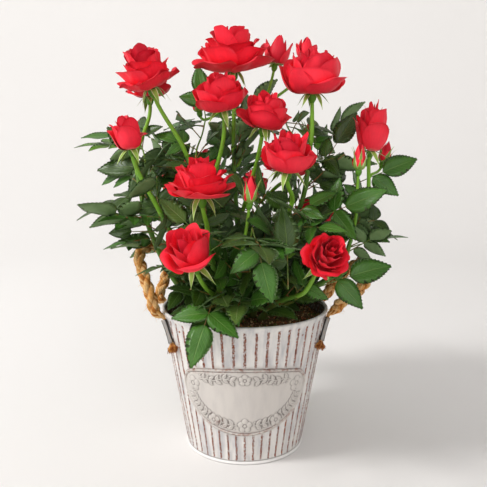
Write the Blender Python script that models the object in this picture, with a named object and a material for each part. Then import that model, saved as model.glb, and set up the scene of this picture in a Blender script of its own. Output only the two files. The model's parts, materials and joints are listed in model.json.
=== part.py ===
"""A patio rose in full bloom, in a whitewashed tin bucket with two rope handles.

Metres, +Z up. The origin is the centre of the bucket's flat underside, and the
viewer of the bucket's plaque stands on the -Y side. The plant is an assembly of
canes, flower shoots and masses of leaves, each one closed solid in its own node,
0.3 mm clear of the piece that carries it.
"""

import math
import random

import bpy
from mathutils import Matrix, Vector
from mathutils.bvhtree import BVHTree

MM = 0.001
GAP = 0.35 * MM
UP = Vector((0.0, 0.0, 1.0))

# Bucket: driving dimensions
BUCKET_HEIGHT = 120 * MM
RIM_RADIUS = 69.8 * MM
BASE_RADIUS = 48.8 * MM
WALL = 1.2 * MM
FLOOR = 1.5 * MM
RIBS = 48
ROLL = 1.4 * MM

# Plaque on the front of the bucket
PLAQUE_TOP = 85.6 * MM
PLAQUE_BOTTOM = 26.6 * MM
PLAQUE_HALF_ANGLE = math.radians(53)
PLAQUE_CORNER = 12 * MM
PLAQUE_ARCH = 8.5 * MM
PLAQUE_PROUD = 0.7 * MM
PLAQUE_COLUMNS = 14

# Compost
SOIL_TOP = 113 * MM
SOIL_EDGE = 109 * MM
SOIL_FLAT_RADIUS = 30 * MM

# Rope handles and the steel straps that hold their ends
HANDLE_TURN = math.radians(3.2)
STRAP_TOP_ANGLE = math.radians(19.8)
STRAP_FOOT_ANGLE = math.radians(26.5)
STRAP_TOP = 114.5 * MM
STRAP_FOOT = 97 * MM
STRAP_WIDTH = 6.4 * MM
STRAP_RISE = 4.4 * MM
STRAP_SHEET = 0.7 * MM
ROPE_RADIUS = 4.4 * MM
PINCHED_ROPE_RADIUS = 1.45 * MM
ROPE_LOOPS = {
    -1: [
        (-72, -27, 135),
        (-79, -19, 149),
        (-85, -9, 161),
        (-84, 2, 168),
        (-76, 12, 168),
        (-68, 19, 157),
        (-70, 25, 138),
    ],
    1: [
        (80, -25, 130),
        (92, -17, 135),
        (101, -8, 142),
        (105, 2, 151),
        (102, 12, 155),
        (94, 22, 148),
        (81, 30, 134),
    ],
}

# Plant
CANE_FOOT_RADIUS = 3.2 * MM
CANE_TIP_RADIUS = 1.7 * MM
CANE_SIDES = 5
STALK_RADIUS = 1.5 * MM
TWIG_RADIUS = 1.0 * MM
RACHIS_RADIUS = 0.62 * MM
LEAFLET_LENGTH = 31 * MM
LEAFLET_WIDTH_SHARE = 0.64
LEAFLET_HALF_THICKNESS = 0.3 * MM
LEAF_NECK = 0.35
LEAF_PITCH = 0.48
LEAF_ROOT = 0.12 * MM
LEAF_FOLD = 0.22
LEAF_DROOP = 0.06
LEAFLET_STATIONS = [(0.30, 0.90), (0.62, 0.92)]
FIRST_MASS_SEED = 100

# A cane is a smooth curve through these places, in millimetres from the foot on the compost to the tip
CANES = {
    "left": [(-20, -8), (-44, -17, 130), (-60, -24, 152), (-76, -30, 192), (-85, -20, 232)],
    "left_front": [(-13, -15), (-33, -26, 145), (-55, -41, 184), (-64, -46, 203)],
    "centre_left": [(-9, 0), (-16, -4, 160), (-30, -13, 205), (-46, -19, 246)],
    "centre": [(-1, 9), (-4, 8, 165), (-8, 4, 215), (-9, 1, 250)],
    "front": [(-4, -27), (-5, -44, 138), (-3, -61, 166)],
    "front_left": [(-14, -25), (-19, -45, 143), (-26, -64, 176), (-27, -70, 190)],
    "centre_right": [(6, -11), (14, -25, 150), (29, -47, 190), (34, -55, 208)],
    "right_centre": [(10, 4), (27, -3, 160), (47, -9, 210), (53, -10, 256)],
    "right": [(20, -7), (50, -14, 134), (76, -22, 154), (84, -29, 180)],
    "right_back": [(18, 10), (52, 13, 145), (86, 5, 176), (98, 1, 200)],
    "front_right": [(14, -21), (20, -31, 125), (30, -45, 135), (40, -59, 142)],
    "back_left": [(-11, 17), (-28, 46, 150), (-44, 66, 192)],
    "back_right": [(7, 20), (22, 50, 150), (36, 66, 200)],
}

# Heads of a flower shoot: kind, centre in mm, width and height of the petals in mm, and the way it faces
# Shoot: the cane that carries it and how far up it leaves the cane (1 is its tip)
SHOOTS = {
    "far_left": ("centre_left", 1.0, [
        ("open", (-77, -28, 313), 44, 34, (-0.32, -0.2, 1)),
    ]),
    "far_left_back": ("left", 1.0, [
        ("open", (-80, 14, 305), 34, 24, (-0.1, 0.1, 1)),
    ]),
    "crown": ("centre", 1.0, [
        ("open", (-10, 0, 330), 60, 36, (-0.05, -0.15, 1)),
        ("bud", (-41, 40, 290), 12, 15, (-0.2, 0.2, 1)),
    ]),
    "crown_buds": ("centre", 0.86, [
        ("bud", (28, 28, 333), 19, 26, (0.2, 0.1, 1)),
        ("bud", (54, 56, 338), 16, 18, (0.1, 0.1, 1)),
    ]),
    "upper_right": ("right_centre", 1.0, [
        ("cup", (53, -12, 311), 50, 33, (-0.02, -0.12, 1)),
        ("bud", (56, 26, 268), 13, 14, (0.1, 0.3, 1)),
    ]),
    "upper_left": ("centre_left", 0.72, [
        ("cup", (-19, -38, 294), 39, 28, (-0.15, -0.3, 1)),
    ]),
    "upper_middle": ("centre", 0.52, [
        ("cup", (16, -38, 280), 36, 26, (0.15, -0.2, 1)),
    ]),
    "middle_right": ("centre_right", 1.0, [
        ("cup", (31, -73, 250), 38, 28, (0.05, -0.25, 1)),
    ]),
    "middle_left": ("front_left", 1.0, [
        ("open", (-31, -83, 232), 48, 28, (-0.05, -0.14, 1)),
    ]),
    "left_side": ("left_front", 1.0, [
        ("goblet", (-87, -50, 263), 25, 25, (-0.2, -0.05, 1)),
    ]),
    "right_side": ("right_back", 1.0, [
        ("goblet", (103, -2, 268), 27, 38, (0.05, -0.08, 1)),
        ("bud", (121, 25, 248), 13, 18, (0.3, 0.1, 1)),
    ]),
    "right_bud": ("right", 1.0, [
        ("bud", (89, -30, 246), 13, 21, (0.05, -0.05, 1)),
    ]),
    "middle_bud": ("front", 1.0, [
        ("bud", (4, -85, 225), 12, 20, (0.08, -0.12, 1)),
    ]),
    "low_left": ("front_left", 0.30, [
        ("goblet", (-39, -96, 183), 36, 28, (-0.3, -0.5, 1)),
    ]),
    "low_right": ("front_right", 1.0, [
        ("open", (59, -88, 179), 32, 30, (0.25, -1.3, 0.7)),
    ]),
    "back_left": ("back_left", 1.0, [
        ("cup", (-44, 82, 232), 44, 30, (-0.2, 0.4, 1)),
        ("bud", (-72, 58, 222), 13, 19, (-0.3, 0.3, 1)),
    ]),
    "back_right": ("back_right", 1.0, [
        ("open", (38, 84, 245), 48, 30, (0.1, 0.6, 1)),
        ("goblet", (8, 98, 216), 26, 30, (-0.2, 0.6, 1)),
    ]),
    "back_side": ("right_back", 0.55, [
        ("cup", (68, 70, 192), 38, 27, (0.3, 0.6, 1)),
    ]),
}

# Mass of leaves: carrying cane, how far up, the place its twig reaches in mm, the way its end leaf points,
# leaflet pairs of that leaf, leaves along the twig, the size of its leaflets, and the way its end leaf faces
MASSES = {
    "left_spray": ("left", 0.66, (-72, -31, 219), (-1.0, -0.05, -0.18), 1, 1, 1.15, (0.05, -0.15, 1)),
    "left_top": ("left", 0.90, (-86, 0, 257), (-1.0, 0.0, 0.25), 1, 2, 0.9, (0, -0.4, 1)),
    "left_low": ("left_front", 0.42, (-72, -34, 187), (-1.0, -0.1, 0.05), 1, 2, 0.65, (0, -1, 0.5)),
    "left_broad": ("centre_left", 0.52, (-58, -12, 236), (-1.0, 0.0, 0.08), 1, 1, 1.15, (-0.1, -0.9, 0.6)),
    "rim_left": ("front_left", 0.14, (-21, -62, 146), (-0.25, -0.6, -0.6), 1, 1, 1.1, (0, -0.9, 0.35)),
    "front_fan": ("front", 0.50, (5, -88, 197), (0.25, -0.45, -0.85), 1, 2, 0.98, (0, -0.9, 0.5)),
    "front_tall": ("centre_right", 0.45, (31, -80, 152), (-0.02, -0.1, 1.0), 1, 0, 1.1, (0.15, -1, 0.1)),
    "rim_right": ("front_right", 0.40, (51, -60, 147), (1.0, -0.1, 0.42), 1, 0, 1.15, (0.1, -0.9, 0.6)),
    "right_top": ("right_back", 0.93, (90, 8, 220), (0.9, -0.05, 0.45), 1, 0, 1.1, (-0.1, -1, 0.5)),
    "right_thin": ("right", 0.72, (86, -12, 188), (1.0, 0.1, -0.05), 1, 1, 0.8, (0, -0.3, 1)),
    "right_mid": ("right_centre", 0.72, (64, 17, 233), (0.5, 0.0, 0.85), 1, 2, 1.05, (-0.2, -1, 0.3)),
    "right_inner": ("right", 0.45, (52, -40, 196), (0.6, -0.3, 0.35), 1, 1, 1.1, (0.2, -0.9, 0.6)),
    "top_left": ("centre_left", 0.90, (-33, 22, 276), (-0.15, 0.1, 1.0), 1, 2, 0.85, (0, -1, 0.2)),
    "top_right": ("right_centre", 0.93, (34, 10, 272), (1.0, -0.1, -0.05), 1, 1, 0.8, (0, -0.2, 1)),
    "centre_inner": ("centre", 0.38, (10, -24, 204), (0.2, -0.6, 0.5), 1, 2, 1.1, (0, -1, 0.6)),
    "back_left_top": ("back_left", 0.90, (-55, 45, 234), (-0.6, 0.3, 0.6), 2, 2, 1.05, (-0.5, 0.4, 0.8)),
    "back_left_low": ("back_left", 0.45, (-42, 70, 162), (-0.35, 0.9, -0.05), 2, 2, 1.15, (-0.4, 0.5, 0.8)),
    "back_top": ("centre", 0.70, (-8, 58, 262), (-0.1, 0.7, 0.5), 2, 2, 1.1, (-0.1, 0.6, 0.8)),
    "back_low": ("back_right", 0.45, (0, 82, 200), (-0.1, 1.0, 0.1), 2, 2, 1.15, (0, 0.6, 0.8)),
    "back_right_low": ("right_back", 0.40, (46, 72, 158), (0.35, 0.9, -0.05), 2, 2, 1.15, (0.4, 0.5, 0.8)),
    "back_right_top": ("back_right", 0.85, (62, 50, 240), (0.5, 0.3, 0.7), 2, 2, 1.05, (0.45, 0.4, 0.8)),
}

COLOURS = {
    "tin": ((0.72, 0.71, 0.69), 0.55, 0.0),
    "compost": ((0.06, 0.03, 0.018), 0.95, 0.0),
    "steel": ((0.11, 0.11, 0.115), 0.45, 0.9),
    "rope": ((0.50, 0.29, 0.11), 0.9, 0.0),
    "cane": ((0.10, 0.19, 0.04), 0.6, 0.0),
    "rose": ((0.72, 0.015, 0.03), 0.5, 0.0),
    "leaf": ((0.035, 0.10, 0.025), 0.5, 0.0),
}


def clear_scene():
    for obj in list(bpy.data.objects):
        bpy.data.objects.remove(obj, do_unlink=True)


def material(name):
    found = bpy.data.materials.get(name)
    if found:
        return found
    colour, roughness, metallic = COLOURS[name]
    made = bpy.data.materials.new(name)
    made.use_nodes = True
    shader = made.node_tree.nodes["Principled BSDF"]
    shader.inputs["Base Color"].default_value = (*colour, 1.0)
    shader.inputs["Roughness"].default_value = roughness
    shader.inputs["Metallic"].default_value = metallic
    made.diffuse_color = (*colour, 1.0)
    return made


def mesh_object(name, shape, finish):
    """An object in the scene from (points, faces)."""
    mesh = bpy.data.meshes.new(name)
    mesh.from_pydata([tuple(p) for p in shape[0]], [], shape[1])
    mesh.materials.append(material(finish))
    obj = bpy.data.objects.new(name, mesh)
    bpy.context.scene.collection.objects.link(obj)
    return obj


def shade(obj, angle=40):
    obj.data.shade_smooth()
    obj.data.set_sharp_from_angle(angle=math.radians(angle))


def fuse(name, shapes, finish):
    """One closed body from many closed shapes, by one Boolean union on a collection."""
    body = mesh_object(name, shapes[0], finish)
    others = bpy.data.collections.new(name + "_shapes")
    for index, shape in enumerate(shapes[1:]):
        other = mesh_object(f"{name}_shape_{index}", shape, finish)
        bpy.context.scene.collection.objects.unlink(other)
        others.objects.link(other)
    union = body.modifiers.new("union", "BOOLEAN")
    union.operation = "UNION"
    union.operand_type = "COLLECTION"
    union.collection = others
    graph = bpy.context.evaluated_depsgraph_get()
    joined = bpy.data.meshes.new_from_object(body.evaluated_get(graph))
    body.modifiers.remove(union)
    spare = body.data
    body.data = joined
    joined.name = name
    bpy.data.meshes.remove(spare)
    for other in list(others.objects):
        bpy.data.objects.remove(other, do_unlink=True)
    bpy.data.collections.remove(others)
    return body


def smooth_curve(points, steps):
    """Catmull-Rom curve through the points, as a list of steps * (len - 1) + 1 places."""
    places = [Vector(p) for p in points]
    first = places[0] * 2 - places[1]
    last = places[-1] * 2 - places[-2]
    knots = [first] + places + [last]
    curve = []
    for i in range(1, len(knots) - 2):
        a, b, c, d = knots[i - 1 : i + 3]
        slope = c - a
        bow = 2 * a - 5 * b + 4 * c - d
        twist = 3 * b - a - 3 * c + d
        for step in range(steps):
            t = step / steps
            curve.append(0.5 * (2 * b + slope * t + bow * t**2 + twist * t**3))
    curve.append(places[-1])
    return curve


def tube(path, radii, sides):
    """A closed tube along a path of places, with a radius at each."""
    points = []
    faces = []
    tangent = (path[1] - path[0]).normalized()
    side = tangent.orthogonal().normalized()
    for i, place in enumerate(path):
        if i == 0:
            ahead = path[1] - path[0]
        elif i == len(path) - 1:
            ahead = path[-1] - path[-2]
        else:
            ahead = (path[i + 1] - place).normalized() + (place - path[i - 1]).normalized()
        turned = ahead.normalized()
        side = (side - turned * side.dot(turned)).normalized()
        across = turned.cross(side)
        for k in range(sides):
            angle = 2 * math.pi * k / sides
            points.append(place + (side * math.cos(angle) + across * math.sin(angle)) * radii[i])
    for i in range(len(path) - 1):
        for k in range(sides):
            a = i * sides + k
            b = i * sides + (k + 1) % sides
            faces.append((a, b, b + sides, a + sides))
    faces.append(tuple(reversed(range(sides))))
    faces.append(tuple(range((len(path) - 1) * sides, len(path) * sides)))
    return points, faces


def turned(profile, sides, swell=None):
    """A closed body of revolution, its profile running from the axis below to the axis above."""
    points = [Vector((0, 0, profile[0][1]))]
    faces = []
    rings = profile[1:-1]
    for row, (radius, height) in enumerate(rings):
        for k in range(sides):
            angle = 2 * math.pi * k / sides
            out, up = swell(row, k) if swell else (0.0, 0.0)
            reach = radius + out
            points.append(Vector((reach * math.sin(angle), -reach * math.cos(angle), height + up)))
    points.append(Vector((0, 0, profile[-1][1])))
    top = len(points) - 1
    for k in range(sides):
        after = (k + 1) % sides
        faces.append((0, 1 + after, 1 + k))
        for row in range(len(rings) - 1):
            a = 1 + row * sides
            faces.append((a + k, a + after, a + sides + after, a + sides + k))
        last = 1 + (len(rings) - 1) * sides
        faces.append((last + k, last + after, top))
    return points, faces


def plate(grid, thickness):
    """A closed plate from a grid of places: its face, its back at this thickness, and its edges."""
    rows = len(grid)
    columns = len(grid[0])
    face = []
    back = []
    for i in range(rows):
        for j in range(columns):
            along = grid[min(i + 1, rows - 1)][j] - grid[max(i - 1, 0)][j]
            across = grid[i][min(j + 1, columns - 1)] - grid[i][max(j - 1, 0)]
            normal = across.cross(along).normalized()
            face.append(grid[i][j] + normal * thickness / 2)
            back.append(grid[i][j] - normal * thickness / 2)
    count = rows * columns
    faces = []
    for i in range(rows - 1):
        for j in range(columns - 1):
            a = i * columns + j
            quad = (a, a + 1, a + columns + 1, a + columns)
            faces.append(quad)
            faces.append(tuple(count + k for k in reversed(quad)))
    edge = [j for j in range(columns)]
    edge += [i * columns + columns - 1 for i in range(1, rows)]
    edge += [(rows - 1) * columns + j for j in range(columns - 2, -1, -1)]
    edge += [i * columns for i in range(rows - 2, 0, -1)]
    for k, a in enumerate(edge):
        b = edge[(k + 1) % len(edge)]
        faces.append((b, a, count + a, count + b))
    return face + back, faces


# Bucket, compost, straps and ropes


def wall_radius(height):
    """The bucket's outer radius over its ribs."""
    return BASE_RADIUS + (RIM_RADIUS - BASE_RADIUS) * height / BUCKET_HEIGHT


def bucket_shell():
    """The tin wall, a flat panel from each rib to the next, with a rolled rim and a bead round the foot."""
    profile = [
        (0.0, 0.0),
        (BASE_RADIUS - 0.8 * MM, 0.0),
        (BASE_RADIUS + 0.6 * MM, 1.2 * MM),
        (wall_radius(3 * MM), 3 * MM),
        (wall_radius(116 * MM), 116 * MM),
        (RIM_RADIUS + 0.4 * MM, 118.4 * MM),
        (RIM_RADIUS - 0.4 * MM, BUCKET_HEIGHT),
        (RIM_RADIUS - 0.4 * MM - ROLL, BUCKET_HEIGHT - 0.3 * MM),
        (wall_radius(115 * MM) - WALL, 115 * MM),
        (BASE_RADIUS - WALL, FLOOR),
        (0.0, FLOOR),
    ]
    return turned(profile, RIBS)


def plaque_outline(angle):
    """Lowest and highest point of the plaque at an angle from the front: arched top, round foot."""
    share = min(abs(angle) / PLAQUE_HALF_ANGLE, 1.0)
    middle = PLAQUE_TOP - PLAQUE_CORNER
    side = middle - PLAQUE_ARCH
    low = side - (side - PLAQUE_BOTTOM) * math.sqrt(max(0.0, 1 - share**2))
    reach = PLAQUE_HALF_ANGLE * wall_radius(middle)
    past = max(0.0, share * reach - (reach - PLAQUE_CORNER)) / PLAQUE_CORNER
    high = middle - PLAQUE_ARCH * share**2 + PLAQUE_CORNER * math.sqrt(max(0.0, 1 - past**2))
    return low, high


def plaque():
    """The raised plate, bent round the front of the wall and sunk into it."""
    grid = []
    middle = (PLAQUE_PROUD - 0.8 * MM) / 2
    for row in range(2):
        line = []
        for column in range(PLAQUE_COLUMNS + 1):
            angle = -PLAQUE_HALF_ANGLE * 0.995 * math.cos(math.pi * column / PLAQUE_COLUMNS)
            height = plaque_outline(angle)[row]
            radius = wall_radius(height) + middle
            line.append(Vector((radius * math.sin(angle), -radius * math.cos(angle), height)))
        grid.append(line)
    return plate(grid, PLAQUE_PROUD + 0.8 * MM)


def compost():
    """The fill: flat where the canes stand, rough round them, a little lower at the wall."""
    rings = [
        (BASE_RADIUS - WALL - GAP, FLOOR + GAP),
        (wall_radius(SOIL_EDGE) - WALL - GAP, SOIL_EDGE),
        (wall_radius(SOIL_EDGE) - 9 * MM, SOIL_EDGE + 2.2 * MM),
        (SOIL_FLAT_RADIUS + 9 * MM, SOIL_TOP - 0.8 * MM),
        (SOIL_FLAT_RADIUS, SOIL_TOP),
    ]
    sides = 24
    points, faces = turned([(0.0, FLOOR + GAP)] + rings + [(0.0, SOIL_TOP)], sides)
    rough = random.Random(11)
    for row in (2, 3):
        for k in range(sides):
            points[1 + row * sides + k].z += rough.uniform(-0.9, 0.9) * MM
    return points, faces


def wall_frame(angle, height):
    """Place on the wall at an angle from the front, with the way out of the wall there."""
    radius = wall_radius(height)
    place = Vector((radius * math.sin(angle), -radius * math.cos(angle), height))
    slope = (RIM_RADIUS - BASE_RADIUS) / BUCKET_HEIGHT
    out = Vector((math.sin(angle), -math.cos(angle), -slope)).normalized()
    return place, out


def strap_line(side, end):
    """Top and foot of a strap, with the way out of the wall. end is -1 for the front, 1 for the rear."""
    centre = side * math.pi / 2 + HANDLE_TURN
    spread = -side * end
    top = wall_frame(centre - spread * STRAP_TOP_ANGLE, STRAP_TOP)
    foot = wall_frame(centre - spread * STRAP_FOOT_ANGLE, STRAP_FOOT)
    return top, foot


def strap(side, end):
    """A bent steel strap that arches over the rope's end."""
    (top, top_out), (foot, foot_out) = strap_line(side, end)
    grid = []
    arcs = 4
    stations = 2
    for station in range(stations):
        share = station / (stations - 1)
        place = foot.lerp(top, share)
        out = foot_out.lerp(top_out, share).normalized()
        across = (top - foot).cross(out).normalized()
        lift = GAP * 1.5 + 0.1 * MM
        reach = (STRAP_WIDTH - STRAP_SHEET) / 2
        line = []
        for k in range(arcs + 1):
            angle = math.pi * k / arcs
            rise = STRAP_SHEET / 2 * abs(math.cos(angle)) + (STRAP_RISE - STRAP_SHEET) * math.sin(angle)
            line.append(place + across * reach * math.cos(angle) + out * (lift + rise))
        grid.append(line)
    return plate(grid, STRAP_SHEET)


def rope_route(side):
    """The rope's route from below its front strap, up over the loop and down through the rear one."""
    loop = ROPE_LOOPS[side]
    route = []
    radii = []
    for end in (-1, 1):
        (top, top_out), (foot, foot_out) = strap_line(side, end)
        down = (foot - top).normalized()
        middle = STRAP_RISE * 0.42 + GAP
        leg = [
            (foot + down * 7.2 * MM + foot_out * 3.6 * MM, 1.2 * MM),
            (foot + down * 5.0 * MM + foot_out * 3.6 * MM, 3.0 * MM),
            (foot + down * 1.6 * MM + foot_out * middle, PINCHED_ROPE_RADIUS),
            (foot.lerp(top, 0.5) + foot_out * middle, PINCHED_ROPE_RADIUS),
            (top - down * 1.6 * MM + top_out * middle, PINCHED_ROPE_RADIUS),
            (top - down * 5.4 * MM + top_out * 5.6 * MM, 3.2 * MM),
            (top - down * 9.5 * MM + top_out * 8.2 * MM, ROPE_RADIUS),
        ]
        if end == -1:
            route += [place for place, _ in leg]
            radii += [radius for _, radius in leg]
            route += [Vector(p) * MM for p in loop]
            radii += [ROPE_RADIUS] * len(loop)
        else:
            route += [place for place, _ in reversed(leg)]
            radii += [radius for _, radius in reversed(leg)]
    return route, radii


def rope_handle(name, side):
    """A rope as thick as a finger, pinched under its straps and frayed below them."""
    route, radii = rope_route(side)
    data = bpy.data.curves.new(name, "CURVE")
    data.dimensions = "3D"
    data.bevel_depth = 1.0
    data.bevel_resolution = 2
    data.use_fill_caps = True
    data.twist_mode = "MINIMUM"
    line = data.splines.new("POLY")
    line.points.add(len(route) - 1)
    for point, place, radius in zip(line.points, route, radii):
        point.co = (*place, 1.0)
        point.radius = radius
    data.materials.append(material("rope"))
    obj = bpy.data.objects.new(name, data)
    bpy.context.scene.collection.objects.link(obj)
    return obj


# Canes


def cane_curve(name, steps=2):
    places = CANES[name]
    foot = (places[0][0], places[0][1], (SOIL_TOP + GAP) / MM)
    return [p * MM for p in smooth_curve([foot] + places[1:], steps)]


def cane_radius(share):
    return CANE_FOOT_RADIUS + (CANE_TIP_RADIUS - CANE_FOOT_RADIUS) * share**0.6


def cane(name):
    path = cane_curve(name)
    last = len(path) - 1
    points, faces = tube(path, [cane_radius(i / last) for i in range(last + 1)], CANE_SIDES)
    for point in points[:CANE_SIDES]:
        point.z = SOIL_TOP + GAP
    return points, faces


def on_cane(name, share):
    """The place on a cane's centre line at a share of its length, its direction and its radius there."""
    path = cane_curve(name)
    at = share * (len(path) - 1)
    i = min(int(at), len(path) - 2)
    place = path[i].lerp(path[i + 1], at - i)
    return place, (path[i + 1] - path[i]).normalized(), cane_radius(share)


def leave_cane(name, share, target, radius):
    """The first two places of a shoot that leaves a cane towards a target, clear of the cane."""
    place, ahead, thick = on_cane(name, share)
    if share >= 1.0:
        start = place + ahead * GAP
        return [start, start + ahead * 3 * MM], ahead
    out = target - place
    out = (out - ahead * out.dot(ahead)).normalized()
    start = place + out * (thick + GAP)
    away = (out * 0.6 + ahead).normalized()
    return [start, start + out * radius * 1.6 + ahead * radius * 0.4], away


def bend(start, away, end, arrive, steps):
    """A curve from start, leaving along away, to end, arriving along arrive."""
    span = (end - start).length
    a = away * span
    b = arrive * span
    places = []
    for step in range(1, steps + 1):
        t = step / steps
        h00 = 2 * t**3 - 3 * t**2 + 1
        h10 = t**3 - 2 * t**2 + t
        h01 = 3 * t**2 - 2 * t**3
        h11 = t**3 - t**2
        places.append(start * h00 + a * h10 + end * h01 + b * h11)
    return places


# Flower heads


def head_frame(centre, facing, height):
    """Matrix that stands a head, drawn upright with its petals' foot at the origin, in its place."""
    axis = Vector(facing).normalized()
    turn = UP.rotation_difference(axis).to_matrix().to_4x4()
    foot = Vector(centre) * MM - axis * height * 0.5
    return Matrix.Translation(foot) @ turn


# Outline of a head: share of its half width, share of its height, and how far its petals' lobes stand out
HEAD_KINDS = {
    "open": [
        (0.30, 0.0, 0.0),
        (0.86, 0.16, 0.05),
        (0.96, 0.42, 0.09),
        (0.66, 0.56, 0.05),
        (0.40, 0.95, -0.08),
    ],
    "cup": [
        (0.30, 0.0, 0.0),
        (0.86, 0.22, 0.03),
        (0.97, 0.56, 0.06),
        (0.82, 0.84, 0.10),
        (0.46, 0.97, -0.08),
    ],
    "goblet": [
        (0.40, 0.0, 0.0),
        (0.88, 0.26, 0.02),
        (0.80, 0.60, 0.03),
        (0.92, 0.88, 0.12),
        (0.40, 0.99, -0.06),
    ],
    "bud": [
        (0.42, 0.0, 0.0),
        (0.98, 0.24, 0.0),
        (0.90, 0.52, 0.0),
    ],
}
HEAD_MIDDLES = {"open": 0.84, "cup": 0.80, "goblet": 0.84, "bud": 1.0}
SEPAL_LEANS = {"open": 128, "cup": 122, "goblet": 104, "bud": 102}
SEPAL_THICKNESS = 0.5 * MM
HEAD_SIDES = 10


def head(kind, width, height, seed):
    """One head, upright, as one turned body of ten sides: hip, a star of five sepals, and lobed petals."""
    outline = HEAD_KINDS[kind]
    chance = random.Random(seed)
    hip = max(2.1 * MM, min(3.0 * MM, width * 0.09))
    sepal = min(max(height * 0.66, 9 * MM), 16 * MM)
    lean = math.radians(SEPAL_LEANS[kind])
    rings = [(hip * 0.6, -hip * 2.2), (hip, -hip), (hip, -SEPAL_THICKNESS), (hip, 0.0)]
    star = len(rings) - 2
    rings += [(width / 2 * r, height * z + 0.3 * MM) for r, z, _ in outline]
    raised = [chance.uniform(0.2, 1.0) for _ in range(HEAD_SIDES)]

    def lobe(row, k):
        if row < star:
            return 0.0, 0.0
        if row < star + 2:
            reach = sepal * (k % 2)
            return reach * math.sin(lean), reach * math.cos(lean)
        stand = outline[row - star - 2][2] * width / 2
        way = 1 if k % 2 == 0 else -1
        return stand * way, abs(stand) * way * raised[k]

    profile = [(0.0, rings[0][1])] + rings + [(0.0, height * HEAD_MIDDLES[kind])]
    return turned(profile, HEAD_SIDES, lobe), hip


def moved(shape, matrix):
    return [matrix @ p for p in shape[0]], shape[1]


def shoot(name, number):
    """Shapes of a flower shoot: stalk from the cane, and one or two heads."""
    carrier, share, heads = SHOOTS[name]
    shapes = []
    stalk = []
    for index, (kind, centre, width, height, facing) in enumerate(heads):
        frame = head_frame(centre, facing, height * MM)
        bloom, hip = head(kind, width * MM, height * MM, number * 10 + index)
        axis = Vector(facing).normalized()
        neck = frame @ Vector((0, 0, -hip * 2.1))
        thick = STALK_RADIUS * (1.0 if width > 20 else 0.72)
        if index == 0:
            start, away = leave_cane(carrier, share, neck, thick)
            stalk = start + bend(start[-1], away, neck + axis * hip * 0.6, axis, 4)
            path = stalk
        else:
            fork = stalk[len(stalk) // 2]
            along = (stalk[len(stalk) // 2 + 1] - fork).normalized()
            path = [fork] + bend(fork, along, neck + axis * hip * 0.6, axis, 3)
        radii = [thick * (1.08 - 0.2 * i / (len(path) - 1)) for i in range(len(path))]
        shapes.append(tube(path, radii, 5))
        shapes.append(moved(bloom, frame))
    return shapes


# Leaves


def leaflet(root, along, face, length):
    """One leaflet: a folded blade of twelve faces, its upper and lower side meeting at the rim."""
    across = along.cross(face).normalized()
    face = across.cross(along).normalized()
    half = length * LEAFLET_WIDTH_SHARE / 2
    points = [root]
    for s, w in LEAFLET_STATIONS:
        points.append(root + along * length * s + across * half * w + face * (half * w * LEAF_FOLD))
    points.append(root + along * length - face * length * LEAF_DROOP)
    for s, w in reversed(LEAFLET_STATIONS):
        points.append(root + along * length * s - across * half * w + face * (half * w * LEAF_FOLD))
    rim = len(points)
    middle = root + along * length * 0.46
    points.append(middle + face * LEAFLET_HALF_THICKNESS)
    points.append(middle - face * LEAFLET_HALF_THICKNESS)
    faces = []
    for k in range(rim):
        after = (k + 1) % rim
        faces.append((k, after, rim))
        faces.append((after, k, rim + 1))
    return points, faces


def compound_leaf(root, along, face, length, pairs, chance):
    """A leaf: its rachis path, and each leaflet as (root, along, face, length)."""
    across = along.cross(face).normalized()
    stem = length * (LEAF_NECK + LEAF_PITCH * pairs)
    sag = length * 0.10
    path = []
    for i in range(3):
        t = i / 2
        path.append(root + along * stem * t - face * sag * t * t)
    leaflets = []
    end = (path[2] - path[1]).normalized()
    leaflets.append((path[2] - end * 0.8 * MM, end, face, length))
    for pair in range(pairs):
        t = 1 - (LEAF_NECK * 0.8 + LEAF_PITCH * pair) * length / stem
        at = root + along * stem * t - face * sag * t * t
        for hand in (-1, 1):
            spread = math.radians(68 + chance.uniform(-8, 8))
            way = end * math.cos(spread) + across * hand * math.sin(spread)
            way += face * chance.uniform(-0.1, 0.18)
            size = length * (0.86 - 0.12 * pair) * chance.uniform(0.92, 1.05)
            leaflets.append((at - way.normalized() * LEAF_ROOT, way.normalized(), face, size))
    return path, leaflets


def leaf_directions(twig, share, turn, chance):
    """Where a leaf leaves its twig, which way it points and which way its face looks."""
    at = share * (len(twig) - 1)
    i = min(int(at), len(twig) - 2)
    place = twig[i].lerp(twig[i + 1], at - i)
    ahead = (twig[i + 1] - twig[i]).normalized()
    side = ahead.orthogonal().normalized()
    side = Matrix.Rotation(turn, 3, ahead) @ side
    outward = Vector((place.x, place.y, 0.0)).normalized()
    along = (ahead * 0.55 + side * 0.8 + outward * 0.5 + UP * chance.uniform(-0.1, 0.2)).normalized()
    look = UP * 0.75 + outward * 0.75 + Vector((chance.uniform(-0.3, 0.3), chance.uniform(-0.3, 0.3), 0.0))
    look = (look - along * look.dot(along)).normalized()
    return place, along, look


def mass_twig(name):
    """The path of a mass's twig, from its cane to the foot of its end leaf, and the twig's shape."""
    carrier, share, reach, points_to, _, _, _, _ = MASSES[name]
    target = Vector(reach) * MM
    start, away = leave_cane(carrier, share, target, TWIG_RADIUS)
    arrive = (target - start[-1]).normalized() * 0.6 + Vector(points_to).normalized() * 0.4
    twig = start + bend(start[-1], away, target, arrive, 3)
    last = len(twig) - 1
    return twig, tube(twig, [TWIG_RADIUS * (1.0 - 0.35 * i / last) for i in range(last + 1)], 3)


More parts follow.
